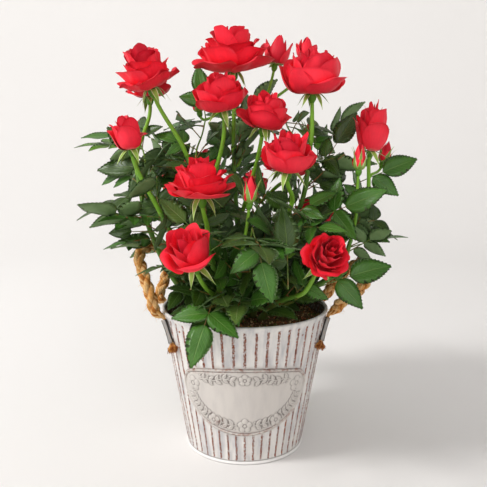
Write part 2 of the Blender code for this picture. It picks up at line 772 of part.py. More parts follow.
def mass_plan(name, twig, seed):
    """The leaves of a mass, as the rule lays them out."""
    _, _, _, points_to, pairs, leaves, size, faces_to = MASSES[name]
    chance = random.Random(seed)
    way = Vector(points_to).normalized()
    plans = []
    turn = chance.uniform(0, 2 * math.pi)
    for k in range(leaves):
        turn += math.radians(137.5)
        along_share = 0.38 + 0.5 * k / max(leaves - 1, 1)
        place, along, face = leaf_directions(twig, along_share, turn, chance)
        length = LEAFLET_LENGTH * size * chance.uniform(0.9, 1.05)
        plans.append(compound_leaf(place, along, face, length, 2, chance))
    face = Vector(faces_to)
    face = (face - way * face.dot(way)).normalized()
    plans.append(compound_leaf(twig[-1], way, face, LEAFLET_LENGTH * size, pairs, chance))
    return plans


def swollen(shape, by):
    """The shape grown outwards by a distance, for a clearance test."""
    points, faces = shape
    ways = [Vector((0, 0, 0)) for _ in points]
    for face in faces:
        a, b, c = (points[face[i]] for i in range(3))
        normal = (b - a).cross(c - a).normalized()
        for k in face:
            ways[k] += normal
    return [p + w.normalized() * by for p, w in zip(points, ways)], faces


def tree_of(shape):
    return BVHTree.FromPolygons([tuple(p) for p in shape[0]], shape[1])


def touches(shape, others):
    """Whether a shape comes nearer than the gap to any of the trees."""
    grown = tree_of(swollen(shape, GAP * 1.3))
    return any(grown.overlap(other) for other in others)


def mass(name, number, placed):
    """Shapes of a mass of leaves. One that would touch a limb, a flower or another leaf is left out."""
    twig, twig_shape = mass_twig(name)
    shapes = [twig_shape]
    own = []
    for path, leaflets in mass_plan(name, twig, FIRST_MASS_SEED + number):
        stem = tube(path, [RACHIS_RADIUS] * len(path), 3)
        if touches(stem, placed + own):
            continue
        own_stem = tree_of(stem)
        kept = []
        for root, along, face, length in leaflets:
            leaf = leaflet(root, along, face, length)
            if touches(leaf, placed + own):
                continue
            kept.append(leaf)
        if kept:
            shapes.append(stem)
            shapes += kept
            own += [tree_of(leaf) for leaf in kept] + [own_stem]
    return shapes


def evaluated_tree(obj):
    graph = bpy.context.evaluated_depsgraph_get()
    return BVHTree.FromObject(obj, graph)


def build():
    clear_scene()
    placed = []

    def keep(obj):
        placed.append(evaluated_tree(obj))
        return obj

    bucket = fuse("bucket", [bucket_shell(), plaque()], "tin")
    shade(keep(bucket), 25)
    keep(mesh_object("compost", compost(), "compost"))
    for number, (side, end) in enumerate(((-1, -1), (-1, 1), (1, -1), (1, 1)), start=1):
        shade(keep(mesh_object(f"strap_{number}", strap(side, end), "steel")))
    keep(rope_handle("rope_handle_left", -1))
    keep(rope_handle("rope_handle_right", 1))
    for name in CANES:
        shade(keep(mesh_object("cane_" + name, cane(name), "cane")))
    for number, name in enumerate(SHOOTS):
        shade(keep(fuse("rose_" + name, shoot(name, number), "rose")))
    twigs = {name: tree_of(mass_twig(name)[1]) for name in MASSES}
    for number, name in enumerate(MASSES):
        others = [twigs[other] for other in MASSES if other != name]
        keep(fuse("leaves_" + name, mass(name, number, placed + others), "leaf"))


build()
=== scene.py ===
"""A patio rose in full bloom in a whitewashed tin bucket: the looks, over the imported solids.

Metres, +Z up. The bucket's plaque looks along -Y. The plant's canes, shoots and
sprays stand where the solids' own rule puts them, and are carried on here to
finer twigs, to toothed leaflets and to separate petals.
"""

import json
import random
from math import atan2, cos, exp, hypot, pi, radians, sin, sqrt, tau

import bpy
import numpy as np
from mathutils import Matrix, Vector, noise
from mathutils.bvhtree import BVHTree

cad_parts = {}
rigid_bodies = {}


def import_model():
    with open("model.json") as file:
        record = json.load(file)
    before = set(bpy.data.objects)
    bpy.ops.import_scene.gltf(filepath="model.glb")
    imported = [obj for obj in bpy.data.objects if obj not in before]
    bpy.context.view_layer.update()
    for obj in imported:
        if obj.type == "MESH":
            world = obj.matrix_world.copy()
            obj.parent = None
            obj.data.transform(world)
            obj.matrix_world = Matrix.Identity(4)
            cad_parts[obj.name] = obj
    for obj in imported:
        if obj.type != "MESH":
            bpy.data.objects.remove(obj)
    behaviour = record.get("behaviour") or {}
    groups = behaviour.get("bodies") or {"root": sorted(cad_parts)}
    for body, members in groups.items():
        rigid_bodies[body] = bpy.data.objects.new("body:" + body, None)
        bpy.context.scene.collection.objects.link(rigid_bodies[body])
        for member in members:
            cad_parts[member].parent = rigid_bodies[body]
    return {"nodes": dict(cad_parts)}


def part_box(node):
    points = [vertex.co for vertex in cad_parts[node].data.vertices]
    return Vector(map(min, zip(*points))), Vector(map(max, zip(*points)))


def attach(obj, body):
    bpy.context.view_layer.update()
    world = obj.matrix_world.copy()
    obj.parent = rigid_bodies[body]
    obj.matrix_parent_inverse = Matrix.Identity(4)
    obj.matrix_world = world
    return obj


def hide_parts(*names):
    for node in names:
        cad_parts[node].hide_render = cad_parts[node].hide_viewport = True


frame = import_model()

bl_info = {
    "name": "Patio rose in a tin bucket",
    "version": (1, 0, 0),
    "blender": (4, 5, 0),
    "location": "3D View > Sidebar > Rose",
    "description": "Dresses the solids of a potted rose with petals, leaves, bark, jute and whitewashed tin",
    "category": "Object",
}

MM = 0.001
UP = Vector((0.0, 0.0, 1.0))
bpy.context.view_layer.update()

# Bucket, the same driving dimensions as its solid
BUCKET_HEIGHT = 120 * MM
RIM_RADIUS = 69.8 * MM
BASE_RADIUS = 48.8 * MM
WALL = 1.2 * MM
FLOOR = 1.5 * MM
RIBS = 48
ROLL = 1.4 * MM
PLAQUE_TOP = 85.6
PLAQUE_BOTTOM = 26.6
PLAQUE_HALF_ANGLE = radians(53)
PLAQUE_CORNER = 12.0
PLAQUE_ARCH = 8.5
PLAQUE_PROUD = 0.7
PLAQUE_SUNK = 0.8
SOIL_TOP = 113 * MM
SOIL_EDGE = 109 * MM

# Handles, the same driving dimensions as their solids
HANDLE_TURN = radians(3.2)
STRAP_TOP_ANGLE = radians(19.8)
STRAP_FOOT_ANGLE = radians(26.5)
STRAP_TOP = 114.5 * MM
STRAP_FOOT = 97 * MM
STRAP_WIDTH = 4.2 * MM
STRAP_RISE = 3.9 * MM
STRAP_SHEET = 0.7 * MM
ROPE_RADIUS = 5.1 * MM
PINCHED_ROPE_RADIUS = 1.45 * MM
TUFT_FIBRES = 170
ROPE_LOOPS = {
    -1: [
        (-76, -27, 135),
        (-82, -19, 149),
        (-87, -9, 162),
        (-84, 2, 168),
        (-76, 12, 168),
        (-68, 19, 157),
        (-70, 25, 138),
    ],
    1: [
        (80, -25, 130),
        (92, -17, 135),
        (101, -8, 142),
        (105, 2, 151),
        (102, 12, 155),
        (94, 22, 148),
        (81, 30, 134),
    ],
}

# Plant, the same driving dimensions as its solids
GAP = 0.35 * MM
CANE_FOOT_RADIUS = 3.2 * MM
CANE_TIP_RADIUS = 1.7 * MM
STALK_RADIUS = 1.5 * MM
TWIG_RADIUS = 1.0 * MM
RACHIS_RADIUS = 0.62 * MM
LEAFLET_LENGTH = 31 * MM
LEAF_NECK = 0.35
LEAF_PITCH = 0.48
# Each leaf or whorl turns by this from the last, so that none stands over another
GOLDEN_ANGLE = radians(137.5)

# Where the random draws start. The number of the mass, the cane or the leaflet is added
FIRST_MASS_SEED = 100
FINER_LEAF_SEED = 300
CANE_LEAF_SEED = 500
LOW_CANE_LEAF_SEED = 600
CANE_PICK_SEED = 700
MASS_PICK_SEED = 900
LEAFLET_SHAPE_SEED = 500
PETAL_NOISE_SEED = 1

# A cane is a smooth curve through these places, in millimetres from the foot on the compost to the tip
CANES = {
    "left": [(-20, -8), (-44, -17, 130), (-60, -24, 152), (-76, -30, 192), (-85, -20, 232)],
    "left_front": [(-13, -15), (-33, -26, 145), (-55, -41, 184), (-64, -46, 203)],
    "centre_left": [(-9, 0), (-16, -4, 160), (-30, -13, 205), (-46, -19, 246)],
    "centre": [(-1, 9), (-4, 8, 165), (-8, 4, 215), (-9, 1, 250)],
    "front": [(-4, -27), (-5, -44, 138), (-3, -61, 166)],
    "front_left": [(-14, -25), (-19, -45, 143), (-26, -64, 176), (-27, -70, 190)],
    "centre_right": [(6, -11), (14, -25, 150), (29, -47, 190), (34, -55, 208)],
    "right_centre": [(10, 4), (27, -3, 160), (47, -9, 210), (53, -10, 256)],
    "right": [(20, -7), (50, -14, 134), (76, -22, 154), (84, -29, 180)],
    "right_back": [(18, 10), (52, 13, 145), (86, 5, 176), (98, 1, 200)],
    "front_right": [(14, -21), (20, -31, 125), (30, -45, 135), (40, -59, 142)],
    "back_left": [(-11, 17), (-28, 46, 150), (-44, 66, 192)],
    "back_right": [(7, 20), (22, 50, 150), (36, 66, 200)],
}

# Shoot: the cane that carries it and how far up it leaves the cane, then for each
# head its kind, centre in mm, width and height in mm, and the way it faces
SHOOTS = {
    "far_left": ("centre_left", 1.0, [("open", (-77, -28, 313), 44, 34, (-0.32, -0.2, 1))]),
    "far_left_back": ("left", 1.0, [("open", (-80, 14, 305), 34, 24, (-0.1, 0.1, 1))]),
    "crown": ("centre", 1.0, [
        ("open", (-10, 0, 330), 60, 36, (-0.05, -0.15, 1)),
        ("bud", (-41, 40, 290), 12, 15, (-0.2, 0.2, 1)),
    ]),
    "crown_buds": ("centre", 0.86, [
        ("bud", (28, 28, 333), 19, 26, (0.2, 0.1, 1)),
        ("bud", (54, 56, 338), 16, 18, (0.1, 0.1, 1)),
    ]),
    "upper_right": ("right_centre", 1.0, [
        ("cup", (53, -12, 311), 50, 33, (-0.02, -0.12, 1)),
        ("bud", (56, 26, 268), 13, 14, (0.1, 0.3, 1)),
    ]),
    "upper_left": ("centre_left", 0.72, [("cup", (-19, -38, 294), 39, 28, (-0.15, -0.3, 1))]),
    "upper_middle": ("centre", 0.52, [("cup", (16, -38, 280), 36, 26, (0.15, -0.2, 1))]),
    "middle_right": ("centre_right", 1.0, [("cup", (31, -73, 250), 38, 28, (0.05, -0.25, 1))]),
    "middle_left": ("front_left", 1.0, [("open", (-31, -83, 232), 48, 28, (-0.05, -0.14, 1))]),
    "left_side": ("left_front", 1.0, [("goblet", (-87, -50, 263), 25, 25, (-0.2, -0.05, 1))]),
    "right_side": ("right_back", 1.0, [
        ("goblet", (103, -2, 268), 27, 38, (0.05, -0.08, 1)),
        ("bud", (121, 25, 248), 13, 18, (0.3, 0.1, 1)),
    ]),
    "right_bud": ("right", 1.0, [("bud", (89, -30, 246), 13, 21, (0.05, -0.05, 1))]),
    "middle_bud": ("front", 1.0, [("bud", (4, -85, 225), 12, 20, (0.08, -0.12, 1))]),
    "low_left": ("front_left", 0.30, [("goblet", (-39, -96, 183), 36, 28, (-0.3, -0.5, 1))]),
    "low_right": ("front_right", 1.0, [("open", (59, -88, 179), 32, 30, (0.25, -1.3, 0.7))]),
    "back_left": ("back_left", 1.0, [
        ("cup", (-44, 82, 232), 44, 30, (-0.2, 0.4, 1)),
        ("bud", (-72, 58, 222), 13, 19, (-0.3, 0.3, 1)),
    ]),
    "back_right": ("back_right", 1.0, [
        ("open", (38, 84, 245), 48, 30, (0.1, 0.6, 1)),
        ("goblet", (8, 98, 216), 26, 30, (-0.2, 0.6, 1)),
    ]),
    "back_side": ("right_back", 0.55, [("cup", (68, 70, 192), 38, 27, (0.3, 0.6, 1))]),
}

# Mass of leaves: the cane that carries it, how far up, the place in mm that its twig reaches, the way
# its end leaf points, leaflet pairs of that leaf, leaves along the twig, the size of its leaflets, and
# the way its end leaf faces
MASSES = {
    "left_spray": ("left", 0.66, (-72, -31, 219), (-1.0, -0.05, -0.18), 1, 1, 1.15, (0.05, -0.15, 1)),
    "left_top": ("left", 0.90, (-86, 0, 257), (-1.0, 0.0, 0.25), 1, 2, 0.9, (0, -0.4, 1)),
    "left_low": ("left_front", 0.42, (-72, -34, 187), (-1.0, -0.1, 0.05), 1, 2, 0.65, (0, -1, 0.5)),
    "left_broad": ("centre_left", 0.52, (-58, -12, 236), (-1.0, 0.0, 0.08), 1, 1, 1.15, (-0.1, -0.9, 0.6)),
    "rim_left": ("front_left", 0.14, (-21, -62, 146), (-0.25, -0.6, -0.6), 1, 1, 1.1, (0, -0.9, 0.35)),
    "front_fan": ("front", 0.50, (5, -88, 197), (0.25, -0.45, -0.85), 1, 2, 0.98, (0, -0.9, 0.5)),
    "front_tall": ("centre_right", 0.45, (31, -80, 152), (-0.02, -0.1, 1.0), 1, 0, 1.1, (0.15, -1, 0.1)),
    "rim_right": ("front_right", 0.40, (51, -60, 147), (1.0, -0.1, 0.42), 1, 0, 1.15, (0.1, -0.9, 0.6)),
    "right_top": ("right_back", 0.93, (90, 8, 220), (0.9, -0.05, 0.45), 1, 0, 1.1, (-0.1, -1, 0.5)),
    "right_thin": ("right", 0.72, (86, -12, 188), (1.0, 0.1, -0.05), 1, 1, 0.8, (0, -0.3, 1)),
    "right_mid": ("right_centre", 0.72, (64, 17, 233), (0.5, 0.0, 0.85), 1, 2, 1.05, (-0.2, -1, 0.3)),
    "right_inner": ("right", 0.45, (52, -40, 196), (0.6, -0.3, 0.35), 1, 1, 1.1, (0.2, -0.9, 0.6)),
    "top_left": ("centre_left", 0.90, (-33, 22, 276), (-0.15, 0.1, 1.0), 1, 2, 0.85, (0, -1, 0.2)),
    "top_right": ("right_centre", 0.93, (34, 10, 272), (1.0, -0.1, -0.05), 1, 1, 0.8, (0, -0.2, 1)),
    "centre_inner": ("centre", 0.38, (10, -24, 204), (0.2, -0.6, 0.5), 1, 2, 1.1, (0, -1, 0.6)),
    "back_left_top": ("back_left", 0.90, (-55, 45, 234), (-0.6, 0.3, 0.6), 2, 2, 1.05, (-0.5, 0.4, 0.8)),
    "back_left_low": ("back_left", 0.45, (-42, 70, 162), (-0.35, 0.9, -0.05), 2, 2, 1.15, (-0.4, 0.5, 0.8)),
    "back_top": ("centre", 0.70, (-8, 58, 262), (-0.1, 0.7, 0.5), 2, 2, 1.1, (-0.1, 0.6, 0.8)),
    "back_low": ("back_right", 0.45, (0, 82, 200), (-0.1, 1.0, 0.1), 2, 2, 1.15, (0, 0.6, 0.8)),
    "back_right_low": ("right_back", 0.40, (46, 72, 158), (0.35, 0.9, -0.05), 2, 2, 1.15, (0.4, 0.5, 0.8)),
    "back_right_top": ("back_right", 0.85, (62, 50, 240), (0.5, 0.3, 0.7), 2, 2, 1.05, (0.45, 0.4, 0.8)),
}


# Settings that a user would change


class RoseBucketSettings(bpy.types.PropertyGroup):
    """Relief and colours of the tin bucket."""

    rib_rise: bpy.props.FloatProperty(
        name="Rib rise", description="How far each rib stands out of the wall", default=0.45 * MM,
        subtype="DISTANCE", unit="LENGTH", precision=5,
    )
    panel_dip: bpy.props.FloatProperty(
        name="Panel dip", description="How far the panel between two ribs is pressed in",
        default=0.8 * MM, subtype="DISTANCE", unit="LENGTH", precision=5,
    )
    relief: bpy.props.FloatProperty(
        name="Plaque relief", description="How far the sprigs stand out of the plaque", default=0.8 * MM,
        subtype="DISTANCE", unit="LENGTH", precision=5,
    )
    paint: bpy.props.StringProperty(
        name="Paint", description="sRGB colour of the whitewash", default="E0DDD9",
    )
    rust: bpy.props.StringProperty(
        name="Rust", description="sRGB colour of the rust where the ribs are rubbed bare",
        default="A0522C",
    )


class RoseHandleSettings(bpy.types.PropertyGroup):
    """Lay and hair of the jute rope."""

    twist_pitch: bpy.props.FloatProperty(
        name="Twist pitch", description="Length of rope in which a strand goes round once",
        default=30 * MM, subtype="DISTANCE", unit="LENGTH",
    )
    yarns: bpy.props.IntProperty(
        name="Yarns", description="Yarns in each of the three strands", default=7, min=4, max=9,
    )
    hairs: bpy.props.IntProperty(
        name="Hairs", description="Loose fibres along each rope", default=170, min=0, max=600,
    )


class RosePlantSettings(bpy.types.PropertyGroup):
    """Fullness and colours of the plant."""

    finer_leaves: bpy.props.IntProperty(
        name="Finer leaves", description="Leaves that each mass carries beside those of its solid",
        default=4, min=0, max=12,
    )
    petal: bpy.props.StringProperty(
        name="Petal", description="sRGB colour of a petal in full light", default="FF3044",
    )
    leaf: bpy.props.StringProperty(
        name="Leaf", description="sRGB colour of a grown leaf's upper side", default="447522",
    )
    joint_spacing: bpy.props.FloatProperty(
        name="Joint spacing", description="Length of cane from one leaf to the next", default=10 * MM,
        subtype="DISTANCE", unit="LENGTH",
    )
    prickles: bpy.props.IntProperty(
        name="Prickles", description="Prickles on the canes", default=70, min=0, max=400,
    )


class RoseStageSettings(bpy.types.PropertyGroup):
    """Floor and lights."""

    floor: bpy.props.StringProperty(
        name="Floor", description="sRGB colour of the floor and its swept-up edge", default="EDEBE9",
    )
    key_power: bpy.props.FloatProperty(
        name="Key light", description="Power of the soft light from the upper left, in watts",
        default=28.0,
    )
    sky_strength: bpy.props.FloatProperty(
        name="Sky", description="Strength of the even light from above", default=0.37,
    )


# Nodes and materials


def linear(code):
    """An sRGB hex code as a linear colour with its alpha."""
    parts = [int(code[i : i + 2], 16) / 255 for i in (0, 2, 4)]
    return (*[c / 12.92 if c <= 0.04045 else ((c + 0.055) / 1.055) ** 2.4 for c in parts], 1.0)


def add(tree, kind, settings=(), links=()):
    """A node with its settings, by property or by input socket, and its links, by input socket."""
    made = tree.nodes.new(kind)
    for name, value in dict(settings).items():
        if isinstance(name, str) and name in made.bl_rna.properties:
            setattr(made, name, value)
        else:
            made.inputs[name].default_value = value
    for name, source in dict(links).items():
        tree.links.new(source, made.inputs[name])
    return made


def start_finish(name, settings):
    """A new material with its node tree and its shader."""
    made = bpy.data.materials.new(name)
    made.use_nodes = True
    tree = made.node_tree
    shader = tree.nodes["Principled BSDF"]
    for socket, value in settings.items():
        shader.inputs[socket].default_value = value
    return made, tree, shader


def mixed(tree, factor, first, second):
    """A colour between two, each given as a colour or as a socket."""
    made = add(tree, "ShaderNodeMix", {"data_type": "RGBA"})
    if isinstance(factor, float):
        made.inputs[0].default_value = factor
    else:
        tree.links.new(factor, made.inputs[0])
    for place, colour in ((6, first), (7, second)):
        if isinstance(colour, tuple):
            made.inputs[place].default_value = colour
        else:
            tree.links.new(colour, made.inputs[place])
    return made.outputs[2]


def sums(tree, operation, *values, clamp=False):
    """One step of arithmetic on numbers and sockets."""
    made = add(tree, "ShaderNodeMath", {"operation": operation, "use_clamp": clamp})
    for place, value in enumerate(values):
        if isinstance(value, (int, float)):
            made.inputs[place].default_value = value
        else:
            tree.links.new(value, made.inputs[place])
    return made.outputs[0]


def on_object(tree):
    """The place on the object, in metres."""
    return add(tree, "ShaderNodeTexCoord").outputs["Object"]


def carried(tree, name):
    """The number that the mesh carries at each point under a name."""
    return add(tree, "ShaderNodeAttribute", {"attribute_name": name}).outputs["Fac"]


def axes(tree, vector):
    """The X, Y and Z of a vector."""
    return add(tree, "ShaderNodeSeparateXYZ", {}, {"Vector": vector}).outputs


def laid(tree, under, over, share, strength):
    """A colour with another laid over it, by a share times a strength."""
    return mixed(tree, sums(tree, "MULTIPLY", share, strength, clamp=True), under, over)


def ramp(tree, value, low, high):
    """0 below low, 1 above high and smooth between."""
    made = add(
        tree,
        "ShaderNodeMapRange",
        {"interpolation_type": "SMOOTHSTEP", "From Min": low, "From Max": high},
        {"Value": value},
    )
    return made.outputs["Result"]


def grain(tree, vector, size, detail=3.0, roughness=0.55, stretch=None):
    """Noise whose patches measure about the given size in metres on the object."""
    if stretch:
        vector = add(tree, "ShaderNodeMapping", {"Scale": stretch}, {"Vector": vector}).outputs["Vector"]
    return add(
        tree,
        "ShaderNodeTexNoise",
        {"Scale": 1.0 / size, "Detail": detail, "Roughness": roughness},
        {"Vector": vector},
    ).outputs["Fac"]


def bump(tree, shader, height, distance):
    """Raises the surface by a height from 0 to 1, times a distance in metres."""
    made = add(tree, "ShaderNodeBump", {"Distance": distance, "Strength": 1.0}, {"Height": height})
    tree.links.new(made.outputs["Normal"], shader.inputs["Normal"])


def dress(tree, shader, colour, height, distance):
    """Gives the surface its colour and its bump."""
    tree.links.new(colour, shader.inputs["Base Color"])
    bump(tree, shader, height, distance)


def whitewashed_tin(paint, rust):
    """Tin dipped in thin white paint. It is rubbed through to rust in speckles along each raised rib."""
    made, tree, shader = start_finish("whitewashed_tin", {"Roughness": 0.5, "Specular IOR Level": 0.35})
    place = on_object(tree)
    split = axes(tree, place)
    back = sums(tree, "MULTIPLY", split["Y"], -1.0)
    angle = sums(tree, "ARCTAN2", split["X"], back)
    ribs = sums(tree, "MULTIPLY", angle, RIBS / tau)
    off_rib = sums(tree, "ABSOLUTE", sums(tree, "SUBTRACT", ribs, sums(tree, "ROUND", ribs)))
    # The ribs are about 7.8 mm apart halfway up, so the worn line is almost two millimetres wide there
    wander = grain(tree, place, 1.1 * MM, detail=2.0)
    width = sums(tree, "MULTIPLY_ADD", wander, 0.17, 0.030)
    line = sums(tree, "LESS_THAN", off_rib, width)
    # Round the sides the coat has kept a little better, and the speckles are sparser
    kept_coat = sums(tree, "MULTIPLY", ramp(tree, sums(tree, "ABSOLUTE", angle), 0.75, 1.35), 0.05)
    wear = grain(tree, place, 1.1 * MM, detail=4.0, roughness=0.75)
    speckle = ramp(tree, sums(tree, "SUBTRACT", wear, kept_coat), 0.43, 0.50)
    above = ramp(tree, split["Z"], 3.2 * MM, 4.2 * MM)
    below = ramp(tree, split["Z"], 116.0 * MM, 114.5 * MM)
    plain = carried(tree, "plain")
    kept = sums(tree, "SUBTRACT", 1.0, plain, clamp=True)
    worn = line
    for share in (speckle, above, below, kept):
        worn = sums(tree, "MULTIPLY", worn, share)
    streaks = grain(tree, place, 6 * MM, detail=5.0, stretch=(1.0, 1.0, 0.16))
    coat = mixed(tree, ramp(tree, streaks, 0.35, 0.75), linear(paint), linear("BAB9BB"))
    scuffs = ramp(tree, grain(tree, place, 2.2 * MM, detail=6.0, roughness=0.75), 0.66, 0.74)
    coat = laid(tree, coat, linear("8F8A84"), scuffs, 0.35)
    # The plaque's thicker coat has yellowed to a greyer beige
    coat = laid(tree, coat, linear("C8C1BA"), plain, 0.75)
    coat = laid(tree, coat, linear("5E5650"), carried(tree, "patina"), 0.85)
    # The foot bead is painted brighter as a highlight, and painted shade lies in the crease above it
    bead = ramp(tree, split["Z"], 2.9 * MM, 2.4 * MM)
    coat = laid(tree, coat, linear("F2F0EE"), bead, 0.8)
    over_bead = ramp(tree, split["Z"], 2.5 * MM, 3.0 * MM)
    painted_crease_shade = sums(tree, "MULTIPLY", over_bead, ramp(tree, split["Z"], 4.0 * MM, 3.3 * MM))
    coat = laid(tree, coat, linear("7A7570"), painted_crease_shade, 0.7)
    # Inside, damp earth has stained the coat as far as the roll
    inside = carried(tree, "inside")
    stain = sums(tree, "MULTIPLY_ADD", grain(tree, place, 2.5 * MM, detail=5.0), 1.4, inside)
    coat = laid(tree, coat, linear("4C3A28"), inside, ramp(tree, stain, 1.2, 1.75))
    tint = ramp(tree, grain(tree, place, 0.7 * MM, detail=3.0), 0.40, 0.60)
    oxide = mixed(tree, tint, linear(rust), linear("4E2414"))
    blush = ramp(tree, grain(tree, place, 3.0 * MM, detail=5.0), 0.42, 0.70)
    seep = sums(tree, "MULTIPLY", sums(tree, "MULTIPLY", carried(tree, "bleed"), blush), 0.75)
    worn = sums(tree, "MAXIMUM", worn, seep)
    tree.links.new(mixed(tree, worn, coat, oxide), shader.inputs["Base Color"])
    tree.links.new(sums(tree, "MULTIPLY_ADD", worn, 0.35, 0.48), shader.inputs["Roughness"])
    lumps = grain(tree, place, 1.4 * MM, detail=4.0)
    bump(tree, shader, sums(tree, "MULTIPLY_ADD", worn, -0.8, lumps), 0.10 * MM)
    return made


def peat(name, dark, light, size):
    """Peat and bark fibre, crumbled and moist: brown, matt, finer in grain than its crumbs."""
    made, tree, shader = start_finish(name, {"Roughness": 0.92, "Specular IOR Level": 0.2})
    place = on_object(tree)
    fibre = grain(tree, place, size, detail=5.0, roughness=0.7)
    colour = mixed(tree, ramp(tree, fibre, 0.35, 0.68), linear(dark), linear(light))
    dress(tree, shader, colour, fibre, 0.5 * MM)
    return made


def strap_steel():
    """Cold-rolled steel strip, dull grey, blackened along its crown, with painted shade darkening both its
    edges.
    """
    made, tree, shader = start_finish("strap_steel", {"Metallic": 0.25, "Roughness": 0.5})
    place = on_object(tree)
    # The edge value is 1 along both edges, where shade is painted, and along the crown, which is blackened
    edge = carried(tree, "edge")
    edge_shade_and_crown_blackening = sums(tree, "MULTIPLY_ADD", grain(tree, place, 1.5 * MM), 0.30, edge)
    dark = ramp(tree, edge_shade_and_crown_blackening, 0.42, 0.58)
    colour = mixed(tree, dark, linear("9A9692"), linear("1D1A18"))
    dress(tree, shader, colour, grain(tree, place, 0.7 * MM), 0.06 * MM)
    return made


def jute(name, code):
    """Spun jute, a dry matt bast fibre from straw to tobacco brown, with the spinning's fine ridges."""
    settings = {"Roughness": 0.85, "Specular IOR Level": 0.2, "Sheen Weight": 0.06}
    made, tree, shader = start_finish(name, settings)
    place = on_object(tree)
    fibre = grain(tree, place, 0.9 * MM, detail=5.0, roughness=0.75)
    full = linear(code)
    shaded = (full[0] * 0.55, full[1] * 0.48, full[2] * 0.40, 1.0)
    dress(tree, shader, mixed(tree, ramp(tree, fibre, 0.32, 0.62), shaded, full), fibre, 0.25 * MM)
    return made


def green_bark(name, old, young, low, high):
    """Smooth living bark: brown-green and a little corky low down, fresh green above."""
    made, tree, shader = start_finish(name, {"Roughness": 0.5, "Specular IOR Level": 0.4})
    place = on_object(tree)
    split = axes(tree, place)
    blotch = grain(tree, place, 9 * MM, detail=4.0)
    level = sums(tree, "MULTIPLY_ADD", blotch, 0.05, split["Z"])
    colour = mixed(tree, ramp(tree, level, low, high), linear(old), linear(young))
    streak = grain(tree, place, 2.0 * MM, detail=4.0, stretch=(1.0, 1.0, 0.2))
    colour = laid(tree, colour, linear("7A5A30"), ramp(tree, streak, 0.5, 0.72), 0.35)
    dress(tree, shader, colour, streak, 0.15 * MM)
    return made


def petiole_skin():
    """Leaf stalk, green where it is young and flushed red-brown towards the light."""
    made, tree, shader = start_finish("petiole_skin", {"Roughness": 0.5})
    place = on_object(tree)
    flush = ramp(tree, grain(tree, place, 14 * MM, detail=3.0), 0.40, 0.60)
    tree.links.new(mixed(tree, flush, linear("5E8030"), linear("8C5A30")), shader.inputs["Base Color"])
    return made


def velvet_petal(name, code, foot):
    """Rose petal: saturated and matt, with the short soft sheen of velvet, paler towards its foot."""
    made, tree, shader = start_finish(
        name,
        {
            "Roughness": 0.55,
            "Specular IOR Level": 0.28,
            "Sheen Weight": 0.30,
            "Sheen Roughness": 0.35,
            "Sheen Tint": linear("FF8A90"),
        },
    )
    surface = add(tree, "ShaderNodeUVMap", {"uv_map": "surface"}).outputs["UV"]
    split = axes(tree, surface)
    place = on_object(tree)
    full = linear(code)
    deep = (full[0] * 0.66, full[1] * 0.45, full[2] * 0.58, 1.0)
    cloud = ramp(tree, grain(tree, place, 9 * MM, detail=3.0), 0.35, 0.75)
    colour = laid(tree, full, deep, cloud, 0.38)
    veins = grain(tree, surface, 0.05, detail=2.0, stretch=(1.0, 0.08, 1.0))
    colour = laid(tree, colour, deep, ramp(tree, veins, 0.45, 0.75), 0.18)
    colour = laid(tree, colour, deep, ramp(tree, split["Y"], 0.90, 1.0), 0.55)
    colour = mixed(tree, ramp(tree, split["Y"], 0.30, 0.02), colour, linear(foot))
    dress(tree, shader, colour, veins, 0.12 * MM)
    return made


def waxy_leaf(name, code, vein, gloss):
    """Rose leaf, upper side: a thin wax over deep green, with its midrib and side veins a little paler."""
    made, tree, shader = start_finish(name, {"Roughness": gloss, "Specular IOR Level": 0.45})
    surface = add(tree, "ShaderNodeUVMap", {"uv_map": "surface"}).outputs["UV"]
    split = axes(tree, surface)
    across = sums(tree, "ABSOLUTE", sums(tree, "SUBTRACT", split["X"], 0.5))
    rib = ramp(tree, across, 0.035, 0.012)
    # Eight side veins to each half of a leaflet, leaning towards its tip
    along = sums(tree, "MULTIPLY_ADD", across, -5.5, sums(tree, "MULTIPLY", split["Y"], 9.0))
    wave = sums(tree, "ABSOLUTE", sums(tree, "SUBTRACT", sums(tree, "FRACT", along), 0.5))
    side = ramp(tree, wave, 0.10, 0.02)
    net = sums(tree, "MAXIMUM", rib, sums(tree, "MULTIPLY", side, 0.45))
    place = on_object(tree)
    cloud = ramp(tree, grain(tree, place, 12 * MM, detail=3.0), 0.35, 0.70)
    full = linear(code)
    deep = (full[0] * 0.62, full[1] * 0.70, full[2] * 0.66, 1.0)
    colour = laid(tree, full, deep, cloud, 0.6)
    colour = laid(tree, colour, linear(vein), net, 0.55)
    dress(tree, shader, colour, sums(tree, "MULTIPLY", net, -1.0), 0.35 * MM)
    return made


def plain_green(name, code, roughness=0.6):
    """Thin green tissue without wax, evenly coloured but for a soft cloudiness."""
    made, tree, shader = start_finish(name, {"Roughness": roughness, "Specular IOR Level": 0.3})
    place = on_object(tree)
    full = linear(code)
    deep = (full[0] * 0.75, full[1] * 0.80, full[2] * 0.75, 1.0)
    cloud = ramp(tree, grain(tree, place, 6 * MM), 0.35, 0.70)
    tree.links.new(mixed(tree, cloud, full, deep), shader.inputs["Base Color"])
    return made


# Meshes


def ring(radius, height, sides):
    """Places round the vertical axis, from the front on."""
    angles = [tau * k / sides for k in range(sides)]
    return [Vector((radius * sin(angle), -radius * cos(angle), height)) for angle in angles]


def quads(rows, columns, closed=False):
    """Faces over points laid row by row. A closed row's last point joins its first."""
    wide = columns if closed else columns + 1
    faces = []
    for row in range(rows):
        for k in range(columns):
            a, b = row * wide + k, row * wide + (k + 1) % wide
            faces.append((a, b, b + wide, a + wide))
    return faces


def outline(rows, columns):
    """The points round a grid that is laid row by row, in order from the first and along the first row."""
    wide = columns + 1
    there = list(range(wide)) + [row * wide + columns for row in range(1, rows + 1)]
    back = [rows * wide + k for k in range(columns - 1, -1, -1)]
    return there + back + [row * wide for row in range(rows - 1, 0, -1)]


